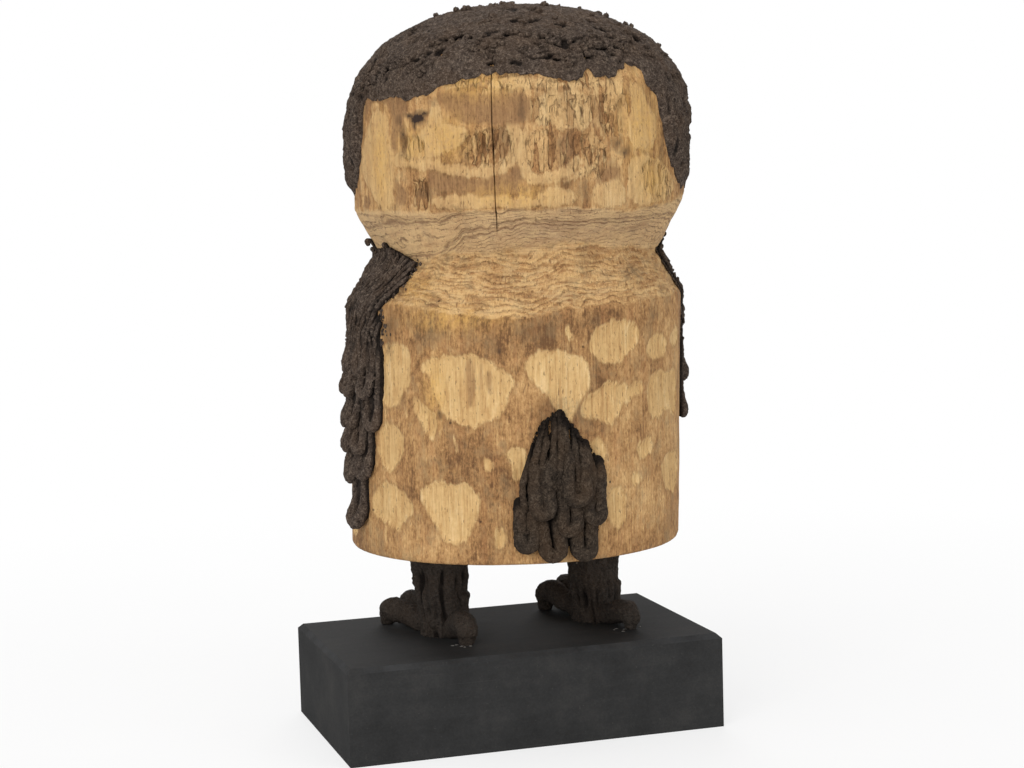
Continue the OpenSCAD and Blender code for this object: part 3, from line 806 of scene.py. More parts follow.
def soft_spots(u, h, spots):
    """Strength of the nearest of some round spots, fading outwards."""
    total = np.zeros(u.shape)
    for at, height, ru, rh, *strength in spots:
        shift = (u - SURFACE_R * math.radians(at) + TURN / 2) % TURN - TURN / 2
        value = np.exp(-0.7 * ((shift / ru) ** 2 + ((h - height) / rh) ** 2))
        total = np.maximum(total, value * (strength[0] if strength else 1))
    return total


def log_top(angles):
    """The crown, mostly under the paste: its points and the values of the wood there."""
    rises = np.concatenate([np.arange(0.8, 24, 1.6), [28, 34, 42, 52, 64, 78]])
    rise = np.tile(rises[:, None], (1, len(angles)))
    wander = crack_wander(rise * 0 + CROWN_FOOT)
    a = drawn_to_crack(np.tile(angles, (len(rises), 1)), wander)
    u = SURFACE_R * np.radians(a)
    h = CROWN_FOOT + CROWN_H * np.sin(np.radians(rise))
    lump = crown(a, rise, 0)
    zero = 0 * u
    slit = np.abs(u - SURFACE_R * np.radians(CRACK_ANGLE + wander))
    slit = smooth(slit, CRACK_HALF + 0.08, CRACK_HALF - 0.06) * smooth(rise, 26, 16)
    dip = 0.35 * noise(lump, 14.0, 53) + 0.3 * noise(lump, (2.2, 2.2, 5.0), 54)
    values = {
        "tone": 0.50 + 0.12 * noise(lump, 34.0, 31) + 0.10 * noise(lump, (9, 9, 22), 32),
        "fresh": marks(u, h, zero, zero, HEAD_LIGHT, HEAD_BANDS),
        "dark": marks(u, h, zero, zero, WOOD_DARK),
        "torn": marks(u, h, zero, zero, HEAD_TORN),
        "head": zero + 1,
        "stain": soft_spots(u, h, DIRT),
        "slit": slit,
        "yellow": soft_spots(u, h, YELLOW),
    }
    return crown(a, rise, -0.2 - dip - slit * CRACK_DEPTH * 0.8), values


def log_relief(a, h, p, step, marked, zones):
    """How deep the tools cut into the log's side."""
    chip, light, torn = marked
    trunk, on_head, upper, lower = zones
    depth = 0.35 * noise(p, 26.0, 41) + 0.18 * noise(p, 8.0, 42)
    depth = depth + trunk * 0.75 * smooth(chip, -0.2, 2.2) * (1 + 0.5 * noise(p, (3, 3, 12), 43))
    rough = on_head * (0.5 + 0.5 * smooth(torn, -1, 1))
    depth = depth + rough * (0.55 * noise(p, (2.0, 2.0, 7), 44) + 0.55 * np.abs(noise(p, (5, 5, 6), 45)))
    depth = depth + on_head * smooth(torn, -1, 1) * 0.5 * noise(p, (1.5, 1.5, 5), 56)
    for angle in SOCKET_ANGLES:
        reach = np.hypot(SURFACE_R * np.radians((a - angle + 180) % 360 - 180), h - SOCKET_H)
        depth = depth + SOCKET_DEPTH * smooth(reach, SOCKET_R, SOCKET_R - 2.5)
    depth = depth - on_head * 0.45 * smooth(light, -0.4, 1.2) + on_head * 0.4 * smooth(torn, -0.2, 1.0)
    ledge = noise(p, (26, 26, 4.0), 46) + 0.6 * noise(p, (11, 11, 2.0), 47)
    facet = np.abs(noise(p, (12, 12, 6), 48)) + 0.5 * np.abs(noise(p, (5, 5, 3), 49))
    depth = depth + upper * (0.22 * ledge + 0.35 * noise(p, (22, 22, 9), 50))
    depth = depth + lower * (0.55 * ledge + 0.8 * facet)
    shelf = step - np.floor(step)
    depth = depth + lower * 0.25 * (shelf - smooth(shelf, 0.72, 1.0))
    block = 2.4 * noise(p, (13, 13, 5), 59) + 0.8 * noise(p, (4, 4, 3), 55)
    depth = depth + lower * 0.28 * (np.floor(block) + smooth(block - np.floor(block), 0.75, 1.0))
    split = noise(p, (3.5, 3.5, 8), 57) + 0.5 * noise(p, (1.7, 1.7, 5), 58)
    depth = depth + rough * (0.25 + 0.55 * smooth(torn, -1, 1)) * smooth(split, -0.04, 0.04)
    return depth + 0.08 * noise(p, (1.2, 1.2, 18), 51) * (1 - upper)


def carved_log():
    """The log: its side as rows from foot to crown, the crown, and a slightly raised underside."""
    angles = log_angles()
    heights = np.concatenate([[0.0, 0.25, 0.7, 1.4], np.arange(2.3, CROWN_FOOT, ROW_STEP)])
    h = np.tile(heights[:, None], (1, len(angles)))
    a = drawn_to_crack(np.tile(angles, (len(heights), 1)), crack_wander(h))
    u = SURFACE_R * np.radians(a)
    p = SURFACE_R * outward(a) + xyz(0, 0, h)
    sway = 0.8 * noise(p * [1, 1, 0], 13.0, 11) + 0.5 * noise(p * [1, 1, 0], 5.0, 12)
    r = log_r(a, h + sway, ease=0.8)
    foot = np.clip(FOOT_EASE - h, 0, FOOT_EASE)
    r = r - (FOOT_EASE - np.sqrt(np.maximum(FOOT_EASE ** 2 - foot ** 2, 0)))
    warp_u = 0.8 * noise(p, (5.0, 5.0, 4.0), 21) + 0.35 * noise(p, (1.6, 1.6, 5.0), 22)
    warp_h = 0.9 * noise(p, (4.0, 4.0, 6.0), 23) + 0.9 * noise(p, (1.5, 1.5, 7.0), 24)
    chip = marks(u, h, warp_u, warp_h, TRUNK_CHIPS)
    chip = np.maximum(chip, marks(u, h, warp_u, warp_h, FAINT_CHIPS) - 1.2)
    light = marks(u, h, warp_u, warp_h, HEAD_LIGHT, HEAD_BANDS)
    dark = marks(u, h, warp_u, warp_h, WOOD_DARK)
    torn = marks(u, h, warp_u, warp_h, HEAD_TORN + TRUNK_TORN)
    low, mid, high = (along(a, t) + sway for t in (SHOULDER_EDGE, NECK_EDGE, JAW_EDGE))
    on_head = smooth(h, high - 0.6, high + 0.8)
    upper = smooth(h, mid - 1, mid + 1.5) * (1 - on_head)
    lower = smooth(h, low - 0.5, low + 0.6) * (1 - smooth(h, mid - 1, mid + 1.5))
    trunk = 1 - np.maximum(on_head, np.maximum(upper, lower))

    # how light the wood is
    drift = 0.12 * noise(p, 34.0, 31) + 0.10 * noise(p, (9, 9, 22), 32)
    tone = trunk * (0.38 + drift) + on_head * (0.45 + drift)
    tone = tone + upper * (0.92 + 0.8 * drift) + lower * (0.60 + 0.20 * noise(p, (14, 14, 3), 34))
    tone = tone + soft_spots(u, h, LIGHTER) - soft_spots(u, h, DARKER)
    mauve = soft_spots(u, h, MAUVE)
    tone = tone - 0.12 * upper * mauve
    crescent = np.exp(-((h - low - 3.2) / 3.0) ** 2) * smooth(np.abs(a - 58), 30, 12) * lower
    tone = tone + 0.34 * crescent
    # growth rings counted along the upper side, chisel steps along the lower one
    first, second = along(a, UPPER_RING) + 0.6 * warp_h, along(a, LOWER_RING) + 0.6 * warp_h
    count = np.where(h > second, 4 * (first - h) / np.maximum(first - second, 0.8), 4 + (second - h) / 1.5)
    ring = count + 0.9 * noise(p, (20, 20, 4), 35) + 0.35 * noise(p, (7, 7, 2), 36)
    step = (h - low) / 2.6 + 0.9 * noise(p, (11, 11, 5), 37) + 0.5 * noise(p, (5, 5, 3), 38)
    depth = log_relief(a, h, p, step, (chip, light, torn), (trunk, on_head, upper, lower))
    stain = soft_spots(u + 1.1 * warp_u, h + 1.1 * warp_h, DIRT)
    # the drying crack, cut into the side; its slit value also paints shade inside it
    offset = np.abs(u - SURFACE_R * np.radians(CRACK_ANGLE + crack_wander(h)))
    width = CRACK_HALF * smooth(h, CRACK_FOOT - 8, CRACK_FOOT + 12)
    width = width * (1 + 0.3 * noise(p * [0, 0, 1], 6.0, 52))
    slit = smooth(offset, width + 0.08, np.maximum(width - 0.06, 0.0)) * smooth(width, 0.03, 0.12)
    r = r - depth - slit * CRACK_DEPTH * smooth(width, 0.03, 0.16)
    z = LOG_Z + h + FOOT_LIFT * smooth(h, 9, 0)
    side = around_axis(a, r, z)

    rings = np.array([0.0, 0.45, 0.9])
    base = [axis_x(LOG_Z), LOG_Y, LOG_Z + FOOT_LIFT]
    under = base + rings[:, None, None] * (side[0] - base)
    top, on_top = log_top(angles)
    points = np.concatenate([under, side, top])
    beneath = {"tone": 0.42, "fresh": -8.0, "dark": -8.0, "torn": -8.0}
    on_side = {
        "tone": tone, "fresh": np.where(on_head > 0.5, light, np.where(trunk > 0.5, chip, -8.0)),
        "dark": dark, "torn": torn, "ring": ring, "step": step, "head": on_head, "upper": upper,
        "lower": lower, "mauve": mauve * upper, "stain": stain, "slit": slit,
        "yellow": soft_spots(u, h, YELLOW),
    }
    values = {}
    for key, value in on_side.items():
        foot_value = np.full(under.shape[:2], beneath.get(key, 0.0))
        values[key] = np.concatenate([foot_value, value, on_top.get(key, np.zeros(top.shape[:2]))])
    build = Build()
    faces = grid_faces(len(points), len(angles)).tolist() + [end_face(len(points), len(angles))]
    build.add(points, faces, **values)
    build.piece("log_wood", WOOD, "carved_wood", "carved_log")


# ------------------------------------------------------------------ head cap
# Lower edge of the paste: angle, then rise on the crown (below 0 in millimetres).
HAIRLINE = [
    (-180, -34), (-165, -36), (-150, -34), (-143, -31), (-131, -15), (-122, 0), (-108, 8), (-97, 3),
    (-90, -6), (-83, 3), (-72, 8), (-58, 0), (-49, -15), (-37, -31), (-25, -36), (-14, -36), (-8, -35),
    (-3, -32), (2, -24), (6, -14), (7.2, -2), (10, 3.0), (25, 3.2), (34, 1.6), (42, 3.2), (45, 6.4),
    (49, 8), (56, 12.8), (61, 16), (66, 14.5), (80, 14.5), (86, 11.2), (92, 9.6), (94, 12.8), (97, 15),
    (102, 11.2), (107, 10.6), (111, 16), (114, 21), (118, 17), (123, 6), (127, -3), (130, -12), (132, -20),
    (137, -28), (140, -31), (142, -35), (151, -36), (160, -35), (180, -34)]
CAP_T = 3.4
# Torn places in the paste: angle, rise, half width in degrees, half height in degrees.
CAP_PITS = [(21, 24, 5, 4), (17, 15, 4, 3), (36, 29, 4, 4), (46, 28, 4, 4.5), (57, 50, 11, 2),
            (67, 21, 5, 2), (77, 51, 9, 2), (87, 33, 5, 4), (85, 22, 6, 2.5), (96, 24, 4, 2.5),
            (98, 47, 8, 2), (113, 50, 6, 2), (117, 43, 7, 2), (134, 38, 6, 3), (49, 38, 7, 1.5),
            (108, 30, 7, 2), (30, 40, 7, 2), (66, 40, 6, 1.6)]
BARE_SPOT = (118.0, 14.0)


def cap_flow(points):
    """Crumbs of torn paste stand in short rows across the flow from the crown."""
    return noise(points, (3.2, 3.2, 1.7), 61) + 0.5 * noise(points, (1.6, 1.6, 1.1), 62)


def cap_thickness(a, rise):
    """Thickness of the paste before it is roughened."""
    thin = (1.3 + 0.8 * smooth(np.abs(a + 12), 60, 25)) * smooth(rise, -10, 4) * smooth(rise, 42, 26)
    thin = thin - 1.0 * smooth(rise, 50, 62) * smooth(rise, 86, 74)
    thin = thin + 1.5 * smooth(np.abs(a - 158), 18, 9) * smooth(rise, -6, -13)
    return CAP_T - thin


def head_cap():
    """The paste over the crown, drawn from its ragged lower edge up to the top."""
    cols, rows = 520, 104
    angle = np.linspace(-180, 180, cols, endpoint=False)
    around = SURFACE_R * outward(angle)
    low = np.interp(angle, *zip(*HAIRLINE))
    torn = 1 + 0.9 * smooth(np.abs(angle - 108), 24, 14)
    low = low + torn * (0.9 * noise(around, 6.0, 63) + 1.3 * noise(around, 2.4, 64)
                        + 0.9 * noise(around, 1.2, 60))
    t = np.linspace(0, 1, rows) ** 1.12
    rise = low[None, :] + (89.0 - low[None, :]) * t[:, None]
    a = np.tile(angle, (rows, 1))
    base = crown(a, rise, CAP_T)
    ease = smooth(rise - low[None, :], -0.5, 7.0)
    thick = 0.5 + (cap_thickness(a, rise) - 0.5) * ease
    bare = np.exp(-((a - BARE_SPOT[0]) / 3.6) ** 2 - ((rise - BARE_SPOT[1]) / 5.0) ** 2)
    thick = thick - 4.2 * bare * (1 + 0.5 * noise(base, 3.0, 65))
    flow = cap_flow(base)
    patch = 0.6 * smooth(layered(base, 17.0, 66), 0.05, 0.5)
    for at, up, wide, tall in CAP_PITS:
        patch = np.maximum(patch, 1.5 * np.exp(-((a - at) / wide) ** 2 - ((rise - up) / tall) ** 2))
    ragged = np.clip(flow - 0.1, 0, 1) * (0.2 + 1.7 * patch)
    pits = np.clip(-flow - 0.20 + 0.18 * patch, 0, 1) * (0.2 + 2.0 * patch)
    streak = ridge(base, (2.2, 2.2, 20.0), 67) * (0.22 + 1.8 * smooth(rise, 6, -8))
    thick = thick + ease * (ragged - 1.9 * pits + 0.5 * streak + 0.35 * noise(base, 9.0, 68))
    thick = thick + (0.4 + 0.6 * ease) * (0.34 * noise(base, 1.1, 69) + 0.26 * noise(base, 0.75, 70))
    outer = crown(a, rise, thick)
    inner = crown(a[:1], rise[:1] - 0.3, -1.0)
    build = Build()
    points = np.concatenate([inner, outer])
    faces = grid_faces(rows + 1, cols).tolist() + [end_face(rows + 1, cols)]
    # painted shade in the torn pits and in the furrows between the streaks
    deep = np.clip(ease * (1.1 * pits - 0.42 * streak * (0.15 + smooth(rise, 10, -8))), 0, 1)
    build.add(points, faces, gap=np.concatenate([0 * deep[:1], deep]))
    tufts(build, np.random.default_rng(5))
    build.piece("cap_paste", PASTE, "plumage_paste", "head_cap")


def crumb(build, centre, axes, sizes, seed, **values):
    """One torn crumb: a knobbly closed lump."""
    rings, sides = 6, 9
    t = np.linspace(0.12, math.pi - 0.12, rings)
    s = np.linspace(0, 2 * math.pi, sides, endpoint=False)
    unit = xyz(np.cos(t)[:, None], np.sin(t)[:, None] * np.cos(s), np.sin(t)[:, None] * np.sin(s))
    swell = 1 + 0.38 * noise(unit * 2.1 + centre, 1.0, seed)
    local = unit * swell[..., None] * sizes
    build.add(centre + local @ axes, closed_faces(rings, sides), **values)


def surface_frame(angle, rise, tilt):
    """Rows: along a crumb, across it, outwards. Tilt turns it in the surface."""
    step = 0.5
    here = crown(angle, rise, 0)
    side = crown(angle + step, rise, 0) - here
    up = crown(angle, rise + step, 0) - here
    side, up = side / np.linalg.norm(side), up / np.linalg.norm(up)
    out = np.cross(side, up)
    c, s = math.cos(tilt), math.sin(tilt)
    return np.array([side * c + up * s, up * c - side * s, out])


def tufts(build, rng):
    """Crumbs of torn paste, in clusters and scattered over the crown."""
    clusters = [(24, 22), (30, 26), (16, 16), (36, 20), (10, 12), (88, 36), (94, 24), (97, 30), (104, 34),
                (70, 38), (58, 34), (112, 30), (120, 34), (46, 38), (78, 30), (64, 28), (100, 22),
                (128, 26), (140, 12)]
    spots = []
    for at, up in clusters:
        for _ in range(rng.integers(5, 9)):
            spots.append((at + rng.normal(0, 4.0), up + rng.normal(0, 3.0)))
    for _ in range(72):
        spots.append((rng.uniform(-180, 180), np.degrees(math.asin(rng.uniform(-0.35, 0.995)))))
    for _ in range(44):
        spots.append((rng.uniform(-180, 180), rng.uniform(48, 84)))
    for at, up in spots:
        at = (at + 180) % 360 - 180
        beside_face = -30 < at < 6 and up < 26
        near_bare_spot = abs(at - BARE_SPOT[0]) < 7 and up < 25
        if up < np.interp(at, *zip(*HAIRLINE)) + 7 or beside_face or near_bare_spot:
            continue
        axes = surface_frame(at, min(up, 86), rng.normal(0, 0.45))
        start = crown(at, up, cap_thickness(at, up) + 0.4)
        length = rng.uniform(1.2, 4.2)
        for _ in range(rng.integers(2, 5)):
            centre = start + axes[0] * (rng.uniform(-0.5, 0.5) * length) + axes[1] * rng.normal(0, 0.5)
            size = np.array([rng.uniform(0.8, 1.6), rng.uniform(0.5, 1.0), rng.uniform(0.7, 1.4)])
            crumb(build, centre, axes, size, int(rng.integers(1, 9999)))


# ------------------------------------------------------------------ wings and tail
COIL_R = 2.15
LOOP_SPAN = 12.6
# Each tier: lowest point above the log's foot, then the loops' angles and their lengths.
WING_TIERS = [
    (72.5, [(-19, 22), (-5.5, 22), (8, 22)]),
    (64, [(-26, 24), (-13, 22), (0, 22), (13, 24)]),
    (50, [(-23, 24), (-10, 24), (3, 24), (17, 36)]),
    (40.5, [(-17, 24), (-4, 24), (9, 26)]),
    (30, [(-13, 24), (0, 24), (12.5, 28)]),
    (12, [(7, 30)]),
]
RIGHT_WING_TURN = (3, 3, 4, 10, 14, 14)    # how far each tier of the right wing sits further forward


def wing_angle(side, angle):
    """The angle on the left wing (side 1), or its mirror image on the right one."""
    return angle if side > 0 else 180 - angle


def hanging_loop(build, side, at, tip, length, span, coil, low, lift, rng, seed, grit):
    """A U of rolled paste hanging on the log, its lower end lying on the tier below."""
    bend = span / 2 - coil * 0.98
    arm = np.arange(length, span / 2, -0.75)
    turn = np.linspace(math.pi, 2 * math.pi, 16)[1:-1]
    lean = rng.normal(0, 0.35)
    u = np.concatenate([-bend + 0 * arm, bend * np.cos(turn), bend + 0 * arm])
    v = np.concatenate([arm, span / 2 + bend * np.sin(turn), arm[::-1]])
    u = u + lean * (v / length) * 3 + 0.45 * noise(xyz(v, u * 0.2, 0), 8.0, seed)
    rest = smooth(v, 13, 3)
    off = low + lift * rest + 0.15 * noise(xyz(v, u, 0), 7.0, seed + 1)
    off = off - (low + 1.0) * smooth(v, length - 6, length)
    angle = wing_angle(side, at + np.degrees(u / SURFACE_R))
    size = coil * (1 + 0.04 * noise(xyz(v, u, 0), 5.0, seed + 2)) * (1 - 0.10 * smooth(v, 10, 20))
    tube(build, surface(angle, LOG_Z + tip + v, off), size, sides=18, grit=grit, lump=0.16, seed=seed,
         out=outward(angle))


def paste_sheet(build, angles, heights, thick, seed):
    """A thin sheet of paste on the log between some angles and heights, closed all round."""
    rows, cols = angles.shape
    base = surface(angles, LOG_Z + heights, 0)
    thick = thick + 0.3 * noise(base, 1.2, seed) + 0.25 * noise(base, 3.0, seed + 1)
    outer = surface(angles, LOG_Z + heights, np.maximum(thick, 0.2))
    sink = surface(angles, LOG_Z + heights, -1.2)
    faces = grid_faces(rows, cols, wrap=False)
    n = rows * cols
    border = ([(0, c) for c in range(cols)] + [(r, cols - 1) for r in range(1, rows)]
              + [(rows - 1, c) for c in range(cols - 2, -1, -1)] + [(r, 0) for r in range(rows - 2, 0, -1)])
    ids = [r * cols + c for r, c in border]
    wall = [[p, n + p, n + q, q] for p, q in zip(ids, ids[1:] + ids[:1])]
    faces, under = faces.tolist(), (faces[:, ::-1] + n).tolist()
    if angles[0, 0] > angles[0, -1]:
        faces, under, wall = ([f[::-1] for f in group] for group in (faces, under, wall))
    build.add(np.concatenate([outer.reshape(-1, 3), sink.reshape(-1, 3)]), faces + under + wall)


def speck(build, angle, h, off, size, rng):
    """One crumb stuck on the log."""
    ang = math.radians(angle)
    axes = np.array([[0, 0, 1.0], [-math.sin(ang), math.cos(ang), 0], [math.cos(ang), math.sin(ang), 0]])
    sizes = np.array([rng.uniform(0.8, 1.6), rng.uniform(0.6, 1.1), rng.uniform(0.6, 1.1)]) * size
    crumb(build, surface(angle, LOG_Z + h, off), axes, sizes, int(rng.integers(1, 9999)))


def wing(side, name):
    """The tiers of loops of one wing, then the strands above them."""
    rng = np.random.default_rng(21 if side > 0 else 22)
    for k, (tip, loops) in enumerate(WING_TIERS):
        build = Build()
        forward = RIGHT_WING_TURN[k] if side < 0 else 0
        last = k == len(WING_TIERS) - 1
        for n, (at, length) in enumerate(loops):
            at = at - forward
            span = LOOP_SPAN + rng.normal(0, 0.4) + (1.6 if last else 0)
            lift = 1.5 + rng.uniform(0, 1.4) + (0.9 if k == 1 or last else 0)
            hanging_loop(build, side, at + rng.normal(0, 0.5), tip + rng.normal(0, 0.8), length, span,
                         COIL_R + (0.6 if last else 0), -0.1, lift, rng, 100 + 20 * k + n, grit=0.28)
            for _ in range(8):
                speck(build, wing_angle(side, at + rng.choice([-3.4, 3.4]) + rng.normal(0, 0.8)),
                      tip + rng.uniform(1, length - 6), 1.9, rng.uniform(0.4, 0.8), rng)
        # a thin layer of paste behind the tier
        across = np.linspace(loops[0][0] - 3.6, loops[-1][0] + 3.6, 40)[None, :] - forward
        up = np.linspace(5.5, 20, 22)[:, None]
        across, up = np.broadcast_arrays(across, up)
        paste_sheet(build, wing_angle(side, across), tip + up, 1.0, 600 + k)
        # painted shade on the coils' flanks and on the sheet behind them, close to the log
        build.paint_crevice_shade(2.3)
        build.piece(f"{name}_loops_{k + 1}", PASTE, "plumage_paste", f"{name}_tier_{k + 1}")
    mantle(side, name, rng)


# Edges of the shoulder's paste: upper edge as angle and height, back edge as height and angle.
MANTLE_TOP = [(-31, 111), (-26, 118), (-20, 122), (-12, 124.5), (-4, 125), (4, 125), (10, 126), (14.3, 126),
              (20, 124), (25, 121.5), (30.4, 119)]
MANTLE_BACK = [(60, 17), (72, 18.5), (79, 20), (88, 22), (94.7, 23.5), (102.7, 20.5), (104.8, 25),
               (109, 28.2), (114.7, 29.5), (119, 30)]
MANTLE_FRONT, MANTLE_FOOT = -31, 76
# Hooks of paste on the upper edge: angle, height, size.
MANTLE_CURLS = [(-7, 126.5, 1.1), (-12, 123.5, 0.8), (12, 126, 0.7), (29, 118.5, 0.7)]


def mantle(side, name, rng):
    """Strands of paste drawn from the neck's edge over the shoulder and down into the loops."""
    build = Build()
    cols, rows = 84, 76
    share = np.linspace(0, 1, cols)[None, :]
    t = np.linspace(0, 1, rows)[:, None]
    turn = 3 if side < 0 else 0
    guess = MANTLE_FRONT + share * (np.interp(60 + 62 * t, *zip(*MANTLE_BACK)) - 2.0 - turn - MANTLE_FRONT)
    top = np.interp(guess, *zip(*MANTLE_TOP)) - 0.8
    h = 60 + (top - 60) * t
    sheet = 0.5 + 0.4 * smooth(share, 0, 0.06) * smooth(share, 1, 0.97) + 0 * h
    waver = 0.8 * noise(xyz(h, guess, 0), 3.0, 70) * smooth(share, 0.8, 1)
    paste_sheet(build, wing_angle(side, guess + waver), h, sheet, 71)
    for n, flow in enumerate(np.arange(-50, 33, 2.75)):
        h = np.arange(MANTLE_FOOT, 127, 0.75)
        at = xyz(h, 0, 9 * n)
        a = flow + 20 * smooth(h, 86, 126) + 0.75 * noise(at, 6.0, 72) + 0.35 * noise(at, 2.5, 73)
        keep = (h < np.interp(a, *zip(*MANTLE_TOP)) + 0.6 * noise(at, 2.0, 74)) & (a > MANTLE_FRONT)
        keep &= a < np.interp(h, *zip(*MANTLE_BACK)) - 0.4 - turn
        if not keep.any():
            continue
        first, last = np.flatnonzero(keep)[[0, -1]]
        if last - first < 7:
            continue
        h, a, at = h[first:last], a[first:last], at[first:last]
        ends = np.minimum(np.arange(len(h)), np.arange(len(h))[::-1]) * 0.75
        off = 0.5 + 0.5 * noise(at, 5.0, 75) - 0.5 * smooth(ends, 3, 0) + 1.1 * smooth(h, 108, 118)
        radius = 1.3 * (1 + 0.20 * noise(at, 4.0, 76)) * (0.72 + 0.28 * smooth(ends, 0, 2.5))
        radius = radius * (1 - 0.22 * smooth(h, 100, 112))
        angle = wing_angle(side, a)
        tube(build, surface(angle, LOG_Z + h, off), radius, sides=12, grit=0.40, lump=0.35, seed=120 + n,
             out=outward(angle))
    for k, (at, up, size) in enumerate(MANTLE_CURLS):
        curl(build, side, at - turn, up, 81 + k, size)
    for _ in range(90):
        at = rng.uniform(-30, 27)
        h0 = rng.uniform(78, np.interp(at, *zip(*MANTLE_TOP)) - 1)
        if at < np.interp(h0, *zip(*MANTLE_BACK)) - 1 - turn:
            off = 1.7 + 0.8 * smooth(h0, 108, 118)
            speck(build, wing_angle(side, at), h0, off, rng.uniform(0.45, 0.9), rng)
    # painted shade where the strands lie close to the log
    build.paint_crevice_shade(2.1)
    for _ in range(90):
        h0 = rng.uniform(80, 122)
        at = np.interp(h0, *zip(*MANTLE_BACK)) + rng.exponential(0.9) - 1.0 - turn
        speck(build, wing_angle(side, at), h0, 0.1, rng.uniform(0.3, 0.6), rng)
    build.piece(f"{name}_strands", PASTE, "plumage_paste", f"{name}_mantle")


def curl(build, side, at, up, seed, size):
    """A short hook of paste that stands off the upper edge."""
    bend = np.linspace(0, 3.6, 14)
    angle = wing_angle(side, at + 0 * bend)
    a = np.radians(angle)
    path = surface(angle, LOG_Z + up + size * (0.4 + np.sin(bend)), 0.9 + size * (1 - np.cos(bend)))
    below = np.array([2.7, 1.8, 0.9])
    stem = surface(angle[:3], LOG_Z + up + 0.4 * size - below, np.array([0.3, 0.6, 0.8]))
    path = np.concatenate([stem, path])
    a = np.concatenate([a[:3], a])
    tube(build, path, 0.85 * size ** 0.5, sides=10, grit=0.2, lump=0.15, seed=seed,
         out=xyz(-np.sin(a), np.cos(a), 0))


TAIL_COIL = 2.9
# Loops of the tail: angle, lowest point above the foot, length, span.
TAIL_TIERS = {
    "lower": (1.2, 0.6, [(76, 5.6, 20, 10.6), (85, 1.6, 19, 12.1), (95.5, 1.2, 20, 11.7)]),
    "middle": (1.9, 1.1, [(89.5, 11.4, 24, 11.3), (98.4, 14.9, 25, 11.2)]),
    "upper": (2.3, 1.9, [(81, 18.7, 25, 10.7), (92, 23, 24, 12.8)]),
}
TAIL_STRANDS = [75.0, 77.8, 80.4, 84.0, 86.7, 89.3, 92.9, 95.5, 98.3, 100.8]
# Outline of the root: height above the log's foot at each angle.
TAIL_TOP = ([73.6, 76.2, 77.8, 80.4, 84, 86.5, 88, 89.9, 93.3, 97.1, 99.6, 101.3],
            [30, 39, 48, 55, 58, 61, 60, 56, 51, 45.6, 41, 35])


def tail():
    """Three tiers of loops, then a fan of strands at the root."""
    rng = np.random.default_rng(31)
    for k, (tier, (low, lift, loops)) in enumerate(TAIL_TIERS.items()):
        build = Build()
        for n, (at, tip, length, span) in enumerate(loops):
            hanging_loop(build, 1, at, tip, length, span, TAIL_COIL, low, lift, rng, 300 + 20 * k + n,
                         grit=0.24)
            for _ in range(6):
                speck(build, at + rng.uniform(-4.5, 4.5), tip + rng.uniform(0, length - 6), low + 3.0,
                      rng.uniform(0.4, 0.7), rng)
        # painted shade where the loops lie close to the log
        build.paint_crevice_shade()
        build.piece(f"tail_loops_{tier}", PASTE_TAIL, "plumage_paste", f"tail_tier_{tier}")
    # strands that fan out below the apex, over a thin sheet
    build = Build()
    t = np.linspace(0, 1, 34)[:, None]
    share = np.linspace(0, 1, 44)[None, :]
    across = 75.5 + 25 * share + 0 * t
    paste_sheet(build, across, 7.5 + (np.interp(across, *TAIL_TOP) - 13) * t, 0.7, 330)
    for n, foot in enumerate(TAIL_STRANDS):
        h = np.arange(23, 63, 0.7)
        angle = foot + (86.8 - foot) * 0.42 * smooth(h, 30, 62)
        angle = angle + 0.45 * noise(xyz(h, 0, 9 * n), 6.0, 331)
        keep = h < np.interp(angle, *TAIL_TOP) + rng.normal(0, 0.7)
        h, angle = h[keep], angle[keep]
        at = xyz(h, 0, 9 * n)
        rise = smooth(h[-1] - h, 0, 14)
        off = 0.2 + 2.3 * rise + 0.3 * noise(at, 6.0, 332) - 1.2 * smooth(h, 30, 23)
        radius = (0.95 + 0.60 * rise) * (1 + 0.16 * noise(at, 4.0, 333))
        tube(build, surface(angle, LOG_Z + h, off), radius, sides=14, grit=0.36, lump=0.35, seed=340 + n,
             out=outward(angle))
    for _ in range(190):
        at = rng.uniform(74, 101.5)
        speck(build, at, np.interp(at, *TAIL_TOP) - rng.exponential(2.6) + 0.8, rng.uniform(0.1, 1.2),
              rng.uniform(0.4, 0.9), rng)
    # painted shade where the strands lie close to the log
    build.paint_crevice_shade(3.0)
    build.piece("tail_strands", PASTE_TAIL, "plumage_paste", "tail_root")


# ------------------------------------------------------------------ legs and feet
# Each toe: direction, how far its tip reaches from the leg's middle, top of its arch above the plinth.
FEET = {"left": {"outer": (-58, 36, 12), "middle": (-77, 34, 14.5), "inner": (-99, 33, 13),
                 "hind": (97, 30, 13.5)},
        "right": {"inner": (-64, 34, 13.8), "middle": (-84, 34, 15.3), "outer": (-106, 33, 12.5),
                  "hind": (105.5, 30, 11.8)}}
LEG_WIDTH = {"left": 1.0, "right": 0.91}


